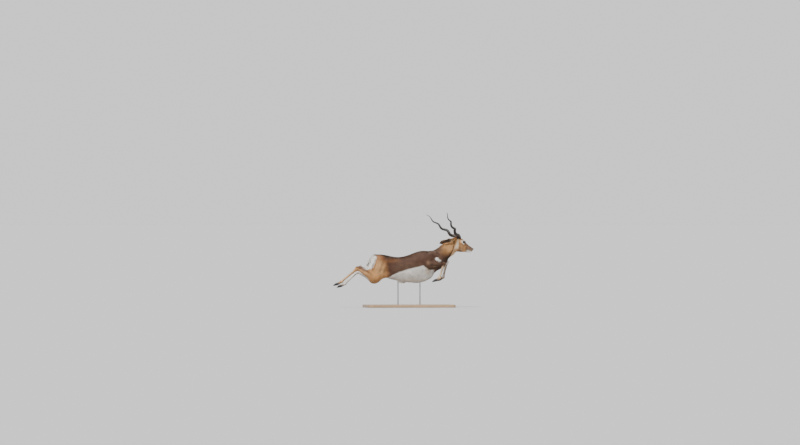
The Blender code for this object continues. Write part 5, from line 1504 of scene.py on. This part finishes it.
# spacing, length, width and height of the tip over the skin
coatRows = {
    "head": (0.00140, 0.0062, 0.00135, 0.0010), "neck": (0.00220, 0.0165, 0.0027, 0.0034),
    "trunk": (0.00230, 0.0160, 0.0030, 0.0034), "tail": (0.00200, 0.0180, 0.0026, 0.0030),
    "shoulder": (0.00220, 0.0140, 0.0027, 0.0028), "forearm": (0.00180, 0.0105, 0.0020, 0.0018),
    "foreCannon": (0.00150, 0.0072, 0.0015, 0.0011), "foreFoot": (0.00135, 0.0065, 0.0014, 0.0010),
    "thigh": (0.00225, 0.0155, 0.0029, 0.0032), "shank": (0.00190, 0.0115, 0.0021, 0.0020),
    "hindCannon": (0.00155, 0.0076, 0.0015, 0.0012), "hindFoot": (0.00135, 0.0066, 0.0014, 0.0010),
    "ear": (0.00150, 0.0068, 0.0014, 0.0008),
}
# rootShade and tipHighlight scale each blade's colour: painted shade at the roots among the hairs, painted light on
# the tips
coatSizes = {
    "seed": 11, "turn": 0.22, "lengthSpread": 0.22, "rootShade": 0.74, "tipHighlight": 1.10, "toneSpread": 0.085,
    "sink": 0.0007, "patch": 0.003, "most": 49500, "quickShare": 0.25,
}


atlasSizes = {"scale": 0.70, "margin": 0.01, "gap": 0.008, "over": 0.075}


def atlasPlaces():  # a rectangle for every stretch of the lie, shelf by shelf, on one square metre
    scale, margin, gap = atlasSizes["scale"], atlasSizes["margin"], atlasSizes["gap"]
    rows = [(np.linalg.norm(part["path"][1] - part["path"][0]) * (1.0 + 2.0 * atlasSizes["over"]) * scale,
             2.0 * math.pi * part["radius"] * scale) for part in allParts]
    places = [None] * len(rows)
    left, top, shelf = margin, margin, 0.0
    for k in sorted(range(len(rows)), key=lambda index: -rows[index][1]):
        wide, tall = rows[k]
        if left + wide > 1.0 - margin:
            left, top, shelf = margin, top + shelf + gap, 0.0
        places[k] = (left, top, wide, tall)
        left += wide + gap
        shelf = max(shelf, tall)
    return places


atlas = atlasPlaces()


def onAtlas(points, chosen):  # u along the stretch, v round it
    uv, over = np.empty((len(points), 2)), atlasSizes["over"]
    for k, part in enumerate(allParts):
        some = np.flatnonzero(chosen == k)
        start, end = part["path"]
        local = (points[some] - start) @ frameAlong(end - start)
        left, top, wide, tall = atlas[k]
        share = np.clip(local[:, 0] / np.linalg.norm(end - start), -over, 1.0 + over)
        uv[some, 0] = left + wide * (share + over) / (1.0 + 2.0 * over)
        uv[some, 1] = top + tall * (np.arctan2(local[:, 1], local[:, 2]) / (2.0 * math.pi) + 0.5)
    return uv


def alongEar(side, points):
    return (points - earFoot(side)) @ earLie(side) / animal["earLength"]


bareSizes = {"nose": 0.2285, "noseTop": -0.0490, "lid": 0.0138, "line": 0.0015, "crease": 0.0004, "muzzle": 0.135,
             "horn": 0.9, "claw": 0.002, "foot": 0.03, "earRoot": 0.02}


def coatPlan():  # for every point of the skin: the lie and the four sizes, and whether hair grows
    points, normals = placesOf(skin), rowsOf(skin.data.vertex_normals, "vector", 3)
    weights = partWeights(points)
    sharp = weights ** 1.5
    sizes = (sharp / sharp.sum(axis=1)[:, None]) @ np.array([coatRows[part["name"]] for part in parts])
    lie = lieAt(normals, weights)
    chosen = weights.argmax(axis=1)
    grows = np.ones(len(points))
    a, _, h = inHead(points)
    face = weights[:, 0]
    throat = weights[:, 1] * fade(inNeck(points)[2], -0.045, 0.03)
    # muzzle shortest, cheeks and throat longer
    sizes[:, 1] *= 1.0 + face * (0.75 * fade(a, 0.035, 0.08) - 0.40 * rise(a, 0.170, 0.08))
    sizes[:, 3] *= 1.0 + face * (0.9 * fade(a, 0.030, 0.06) - 0.30 * rise(a, 0.170, 0.08))
    sizes[:, 1] *= 1.0 + 0.35 * throat
    sizes[:, 3] *= 1.0 + 0.55 * throat
    grows[(a > bareSizes["nose"]) & (h > bareSizes["noseTop"]) & (face > 0.5)] = 0.0
    for side in (-1, 1):
        local = (points - eyePlace(side)) @ eyeAxes(side)
        grows[(np.hypot(local[:, 1] * 0.90, local[:, 2]) < bareSizes["lid"]) & (local[:, 0] > 0.0)] = 0.0
        away = np.linalg.norm(points - hornFoot(side), axis=1)
        grows[away < animal["hornBaseRadius"] * bareSizes["horn"]] = 0.0
    for form in bare:
        if "path" in form:
            onMuzzle = (form["path"][0] - headPoll) @ headAxes[:, 0] > bareSizes["muzzle"]
            reach = bareSizes["line" if onMuzzle else "crease"]
            grows[distanceTo(points, *form["path"])[0] < reach] = 0.0
    for leg in legs:
        offset = points - leg["coronet"]
        beyond = offset @ unit(leg["tip"] - leg["coronet"])
        grows[(beyond > bareSizes["claw"]) & (np.linalg.norm(offset, axis=1) < bareSizes["foot"])] = 0.0
    count = len(earShell(-1)[0])
    for k, side in enumerate((-1, 1)):
        some = np.arange(count) + len(points) - (2 - k) * count
        share = alongEar(side, points[some])
        sizes[some] = coatRows["ear"]
        sizes[some, 1] *= 1.0 - 0.35 * rise(share, 0.8, 0.3)
        lie[some] = flatOn(np.tile(earLie(side), (count, 1)), normals[some])
        chosen[some] = len(parts) + k
        grows[some] = share > bareSizes["earRoot"]
    return points, normals, lie, sizes, chosen, grows


def blades(plan, colours, triangles, draw):
    points, normals, lie, sizes, chosen, grows = plan
    corners = points[triangles]
    area = 0.5 * np.linalg.norm(np.cross(corners[:, 1] - corners[:, 0], corners[:, 2] - corners[:, 0]), axis=1)
    wanted = area / sizes[triangles, 0].mean(axis=1) ** 2 * grows[triangles].min(axis=1)
    total = np.concatenate([[0.0], np.cumsum(wanted)])
    spots = np.arange(int(total[-1])) + draw.uniform(0.0, 1.0, int(total[-1]))
    number = np.clip(np.searchsorted(total, spots, side="right") - 1, 0, len(triangles) - 1)
    p, q = draw.uniform(0.0, 1.0, (2, len(number)))
    over = p + q > 1.0
    p, q = np.where(over, 1.0 - p, p), np.where(over, 1.0 - q, q)
    share = np.stack([1.0 - p - q, p, q], axis=1)
    tri = triangles[number]

    def at(rows):
        return (rows[tri] * share[..., None]).sum(axis=1)

    return at(points), units(at(normals)), units(at(lie)), at(sizes), chosen[tri[:, 0]], at(colours)


def bladeMesh(name, roots, normals, lie, sizes, chosen, colours, draw, tree, bent=0.0):
    count, patch = len(roots), coatSizes["patch"]
    across = np.cross(normals, lie)
    turn = draw.normal(0.0, coatSizes["turn"], count)[:, None]
    way = units(lie * np.cos(turn) + across * np.sin(turn))
    across = units(np.cross(normals, way))
    stretch = 1.0 + draw.normal(0.0, coatSizes["lengthSpread"], count).clip(-0.5, 0.6)
    length, width, height = (sizes[:, k][:, None] for k in (1, 2, 3))
    length = length * stretch[:, None]
    height = height * draw.uniform(0.35, 1.15, (count, 1))
    half = 0.5 * width * draw.uniform(0.75, 1.25, (count, 1))

    def overSkin(places, lift):  # moved to the nearest place of the skin, then lifted off it
        if tree is None:
            return places + normals * lift, normals
        found, facing = np.empty((count, 3)), np.empty((count, 3))
        for k, place in enumerate(places + shift):
            found[k], facing[k] = tree.find_nearest(place)[:2]
        return found - shift + facing * lift, facing

    tips, tipNormals = overSkin(roots + way * length, height)
    base = roots - normals * coatSizes["sink"]
    rows = [base - across * half, base + across * half, base - normals * (0.6 * half) + way * (0.12 * length)]
    facing = [normals - 0.55 * across, normals + 0.55 * across, normals]
    order = [(0, 3, 1), (1, 3, 2), (2, 3, 0), (0, 1, 2)]
    corner = [(-0.5, -0.4), (0.5, -0.4), (0.1, 0.0)]
    # painted shade at the root corners of each blade
    depth = [coatSizes["rootShade"]] * 3
    if bent:  # a curved lock with a middle section
        middle, middleNormals = overSkin(roots + way * (0.5 * length), height * (0.5 + bent))
        rows += [middle - across * (0.8 * half), middle + across * (0.8 * half), middle - middleNormals * (0.5 * half)]
        facing += [middleNormals - 0.45 * across, middleNormals + 0.45 * across, middleNormals]
        order = [(0, 3, 1), (1, 3, 4), (1, 4, 2), (2, 4, 5), (2, 5, 0), (0, 5, 3), (0, 1, 2),
                 (3, 6, 4), (4, 6, 5), (5, 6, 3)]
        corner += [(-0.4, 0.1), (0.4, 0.1), (0.1, 0.2)]
        depth += [1.0] * 3
    rows.append(tips)
    facing.append(tipNormals + 0.15 * way)
    per = len(rows)
    faces = (np.arange(count)[:, None, None] * per + np.array(order)).reshape(-1, 3)
    mesh = bpy.data.meshes.new(name)
    mesh.vertices.add(count * per)
    mesh.vertices.foreach_set("co", (np.stack(rows, axis=1) + shift).astype(np.float32).ravel())
    mesh.loops.add(len(faces) * 3)
    mesh.loops.foreach_set("vertex_index", faces.astype(np.int32).ravel())
    mesh.polygons.add(len(faces))
    mesh.polygons.foreach_set("loop_start", np.arange(len(faces), dtype=np.int32) * 3)
    mesh.polygons.foreach_set("use_smooth", np.ones(len(faces), dtype=bool))
    mesh.update(calc_edges=True)
    tone = (1.0 + draw.normal(0.0, coatSizes["toneSpread"], count))[:, None, None]
    # painted light brightens the tips and painted shade darkens the roots, both weaker on pale hair
    depth = np.array(depth + [coatSizes["tipHighlight"]])[None, :, None]
    depth = depth + (1.0 - depth) * rise(colours.mean(axis=1)[:, None, None], 0.55, 0.5) * 0.55
    storeColours(mesh, np.clip(colours[:, None, :] * tone * depth, 0.003, 0.93).reshape(-1, 3))
    uv = onAtlas(roots, chosen)[:, None, :] + (np.array(corner + [(0.0, 0.6)]) * patch)[None, :, :]
    uv = np.clip(uv.reshape(-1, 2)[faces.ravel()], 0.0005, 0.9995).astype(np.float32)
    mesh.uv_layers.new(name="OFBake").data.foreach_set("uv", uv.ravel())
    mesh.normals_split_custom_set_from_vertices(units(np.stack(facing, axis=1).reshape(-1, 3)).tolist())
    mesh.materials.append(furFinish)
    return linked(bpy.data.objects.new(name, mesh))


# Longer locks: spacing, length, width, lift of the tip, bend
lockRows = {
    "tail": (0.0021, 0.034, 0.0030, 0.0065, 0.10), "mirror": (0.0040, 0.025, 0.0034, 0.0060, 0.15),
    "throat": (0.0042, 0.026, 0.0034, 0.0070, 0.15), "breast": (0.0048, 0.026, 0.0036, 0.0060, 0.15),
    "belly": (0.0046, 0.024, 0.0036, 0.0060, 0.15), "nape": (0.0042, 0.022, 0.0032, 0.0065, 0.15),
    "brow": (0.0026, 0.013, 0.0022, 0.0045, 0.20), "hock": (0.0030, 0.013, 0.0022, 0.0035, 0.15),
    "earCup": (0.0024, 0.014, 0.0017, 0.0045, 0.25), "earFoot": (0.0021, 0.013, 0.0020, 0.0030, 0.20),
    "flank": (0.0052, 0.021, 0.0034, 0.0052, 0.10),
}


def awayFrom(points, place):
    return np.linalg.norm(points - place, axis=1)


def lockShares(points, normals, chosen):  # where each kind of lock grows, from none to all
    x, y, z = points.T
    na, ns, nh = inNeck(points)
    a, _, h = inHead(points)
    names = partNames[chosen]
    trunk, neck, head = names == "trunk", names == "neck", names == "head"
    belly = np.interp(x, (-0.24, -0.155, 0.035, 0.150, 0.190, 0.235), (0.300, 0.328, 0.400, 0.424, 0.434, 0.405))
    hock = sum(fade(awayFrom(points, leg["hock"]), 0.020, 0.010) for leg in legs[2:])
    hock = hock + sum(0.8 * fade(awayFrom(points, leg["knee"]), 0.018, 0.010) for leg in legs[:2])
    cup, foot = np.zeros(len(points)), np.zeros(len(points))
    for k, side in enumerate((-1, 1)):
        own = chosen == len(parts) + k
        cup += own * (normals @ earOpening(side) > 0.25) * fade(alongEar(side, points), 0.45, 0.3)
        root = awayFrom(points, earFoot(side) + earLie(side) * 0.004)
        foot += (own | head | neck) * fade(root, 0.020, 0.008)
    return {
        "tail": (names == "tail") * 1.0,
        "mirror": ((names == "thigh") | trunk) * fade(x - mirrorEdge(z), -0.004, 0.012),
        "throat": neck * fade(nh, -0.040, 0.03) * (na < 0.25),
        "breast": trunk * rise(x, 0.330, 0.04) * fade(z, 0.50, 0.05),
        "belly": trunk * fade(np.abs(y), 0.035, 0.03) * (normals[:, 2] < -0.4),
        "nape": neck * rise(nh, 0.045, 0.02) * fade(np.abs(ns), 0.012, 0.015),
        "brow": head * rise(h, 0.006, 0.010) * fade(a, 0.055, 0.02),
        "flank": trunk * fade(np.abs(z - belly), 0.006, 0.008) * (np.abs(normals[:, 1]) > 0.5),
        "hock": hock, "earCup": cup, "earFoot": foot,
    }


def makeCoat():
    plan = coatPlan()
    points, normals, lie, _, chosen, grows = plan
    skin.data.calc_loop_triangles()
    triangles = rowsOf(skin.data.loop_triangles, "vertices", 3, np.int32)
    skinColours = rowsOf(skin.data.color_attributes["coatColour"].data, "color", 4, np.float32)[:, :3].astype(float)
    tree = BVHTree.FromPolygons([tuple(p) for p in points + shift], [tuple(t) for t in triangles.tolist()])
    draw = np.random.default_rng(coatSizes["seed"])
    roots, facing, ways, rows, kinds, tints = blades(plan, skinColours, triangles, draw)
    flesh = kinds < len(parts)
    tints[flesh] = markings(roots[flesh] + ways[flesh] * (0.35 * rows[flesh, 1])[:, None])
    names, right = partNames[kinds], roots[:, 1] < 0.0
    flank, rump = np.isin(names, ("trunk", "shoulder")), np.isin(names, ("thigh", "tail"))
    regions = {
        "coatHead": np.isin(names, ("head", "ear")), "coatNeck": names == "neck",
        "coatFlankRight": flank & right, "coatFlankLeft": flank & ~right,
        "coatRumpRight": rump & right, "coatRumpLeft": rump & ~right,
    }
    regions["coatLegs"] = ~np.any(list(regions.values()), axis=0)
    made = []
    for name, some in regions.items():
        some = np.flatnonzero(some)
        if len(some) > coatSizes["most"]:
            some = np.sort(draw.permutation(some)[:coatSizes["most"]])
        made.append(bladeMesh(name, roots[some], facing[some], ways[some], rows[some], kinds[some], tints[some],
                              draw, tree))
        print(name, len(some), "blades")
    for kind, share in lockShares(points, normals, chosen).items():
        hang = lie
        if kind == "earFoot":
            hang = lie.copy()
            for side in (-1, 1):
                hang[awayFrom(points, earFoot(side)) < 0.04] = earLie(side)
            hang = flatOn(hang, normals)
        own = (points, normals, hang, np.tile(lockRows[kind][:4], (len(points), 1)), chosen,
               np.clip(share, 0.0, 1.0) * (grows > 0.0))
        roots, facing, ways, rows, kinds, tints = blades(own, skinColours, triangles, draw)
        flesh = kinds < len(parts)
        tints[flesh] = markings(roots[flesh])
        made.append(bladeMesh(kind + "Locks", roots, facing, ways, rows, kinds, tints, draw, tree,
                              lockRows[kind][4]))
        print(kind, len(roots), "locks")
    return made


lashSizes = {"count": 30, "from": 14.0, "to": 166.0, "row": (0.0, 0.0085, 0.0008, 0.0034), "off": 0.0022,
             "bend": 0.05, "seed": 5}


def makeLashes():  # along the edge of each upper lid
    roots, ups, ways = [], [], []
    for side in (-1, 1):
        axes = eyeAxes(side)
        for angle in np.radians(np.linspace(lashSizes["from"], lashSizes["to"], lashSizes["count"])):
            c, s = math.cos(angle), math.sin(angle)
            upper = lidSizes["tall"] * s * (1.0 - lidSizes["pointed"] * c * c)
            edge = unit(np.array([1.0, lidSizes["long"] * c, upper]))
            roots.append(eyePlace(side) + axes @ edge * (animal["eyeRadius"] + lashSizes["off"]))
            ways.append(unit(axes @ np.array([1.0, 0.75 * c, 0.10 + 0.25 * s])))
            ups.append(unit(axes[:, 2] - ways[-1] * (axes[:, 2] @ ways[-1])))
    roots = np.array(roots)
    return bladeMesh("eyeLashes", roots, np.array(ups), np.array(ways), np.tile(lashSizes["row"], (len(roots), 1)),
                     np.zeros(len(roots), dtype=int), plain(roots, "black"),
                     np.random.default_rng(lashSizes["seed"]), None, lashSizes["bend"])


furFinish = coatMaterial("coatHair", False)
coats = makeCoat()
coats.append(makeLashes())


# Stage: a pale floor without an end, soft light and the camera far off at the eye height of the photograph

stage = {"floorReach": 2600.0, "floorColour": 0.54, "worldLight": 0.46, "horizon": 1.032}
suns = {  # direction the light goes, strength and softness
    "key": ((0.42, 0.70, -1.20), 5.0, 12.0), "fill": ((-0.75, 0.65, -0.45), 0.60, 40.0),
    "rim": ((-0.10, -0.90, -0.55), 0.50, 40.0),
}
camera = {"lens": 300.0, "sensor": 36.0, "width": 8.32, "turn": math.radians(10.0), "right": -0.0416, "up": 0.884}


def makeFloor():
    reach = stage["floorReach"]
    mesh = bpy.data.meshes.new("floor")
    mesh.from_pydata([(-reach, -reach, 0), (reach, -reach, 0), (reach, reach, 0), (-reach, reach, 0)], [],
                     [(0, 1, 2, 3)])
    mesh.materials.append(newMaterial("paleFloor", Base_Color=(stage["floorColour"],) * 3 + (1.0,), Roughness=0.9,
                                      Specular_IOR_Level=0.0)[0])
    linked(bpy.data.objects.new("floor", mesh))


def makeSun(name, way, strength, softness):
    light = bpy.data.lights.new(name, "SUN")
    light.energy = strength
    light.angle = math.radians(softness)
    lamp = linked(bpy.data.objects.new(name, light))
    lamp.rotation_euler = Vector(way).to_track_quat("-Z", "Y").to_euler()


def makeWorld():  # the camera sees the tone of the lit floor, the model is lit by a softer one
    world = bpy.data.worlds.new("studio")
    world.use_nodes = True
    tree = world.node_tree
    seen = node(tree, "LightPath").outputs["Is Camera Ray"]
    tone = node(tree, "Mix", data_type="FLOAT", A=stage["worldLight"], B=stage["horizon"], Factor=seen)
    feed(tree, tree.nodes["Background"], Strength=tone.outputs["Result"], Color=(1.0, 1.0, 1.0, 1.0))
    bpy.context.scene.world = world


def makeCamera():
    turn = camera["turn"]
    look = np.array([math.sin(turn), math.cos(turn), 0.0])
    right = np.array([math.cos(turn), -math.sin(turn), 0.0])
    distance = camera["width"] * camera["lens"] / camera["sensor"]
    data = bpy.data.cameras.new("camera")
    data.lens, data.sensor_width = camera["lens"], camera["sensor"]
    data.clip_start, data.clip_end = 1.0, 6000.0
    item = linked(bpy.data.objects.new("camera", data))
    item.location = right * camera["right"] - look * distance + np.array([0.0, 0.0, camera["up"]]) + shift
    item.rotation_euler = (math.pi / 2, 0.0, -turn)
    bpy.context.scene.camera = item


makeFloor()
makeCamera()
makeWorld()
for name, row in suns.items():
    makeSun(name, *row)
print("stage ready")


fleshNodes = ["torso", "neck", "head", "tail", "ear_right", "ear_left"]
for word in sides:
    fleshNodes += [start + word for start in ("foreleg_upper_", "foreleg_lower_", "hindleg_upper_", "hindleg_lower_")]
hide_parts(*fleshNodes)
for word in sides:
    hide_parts("horn_" + word)
    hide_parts("eye_" + word)
for (end, word, where), claw in claws.items():
    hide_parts("hoof_%s_%s_%s" % (end, word, where))
for piece in [skin, *horns.values(), *eyes.values(), *claws.values(), *coats]:
    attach(piece, "root")
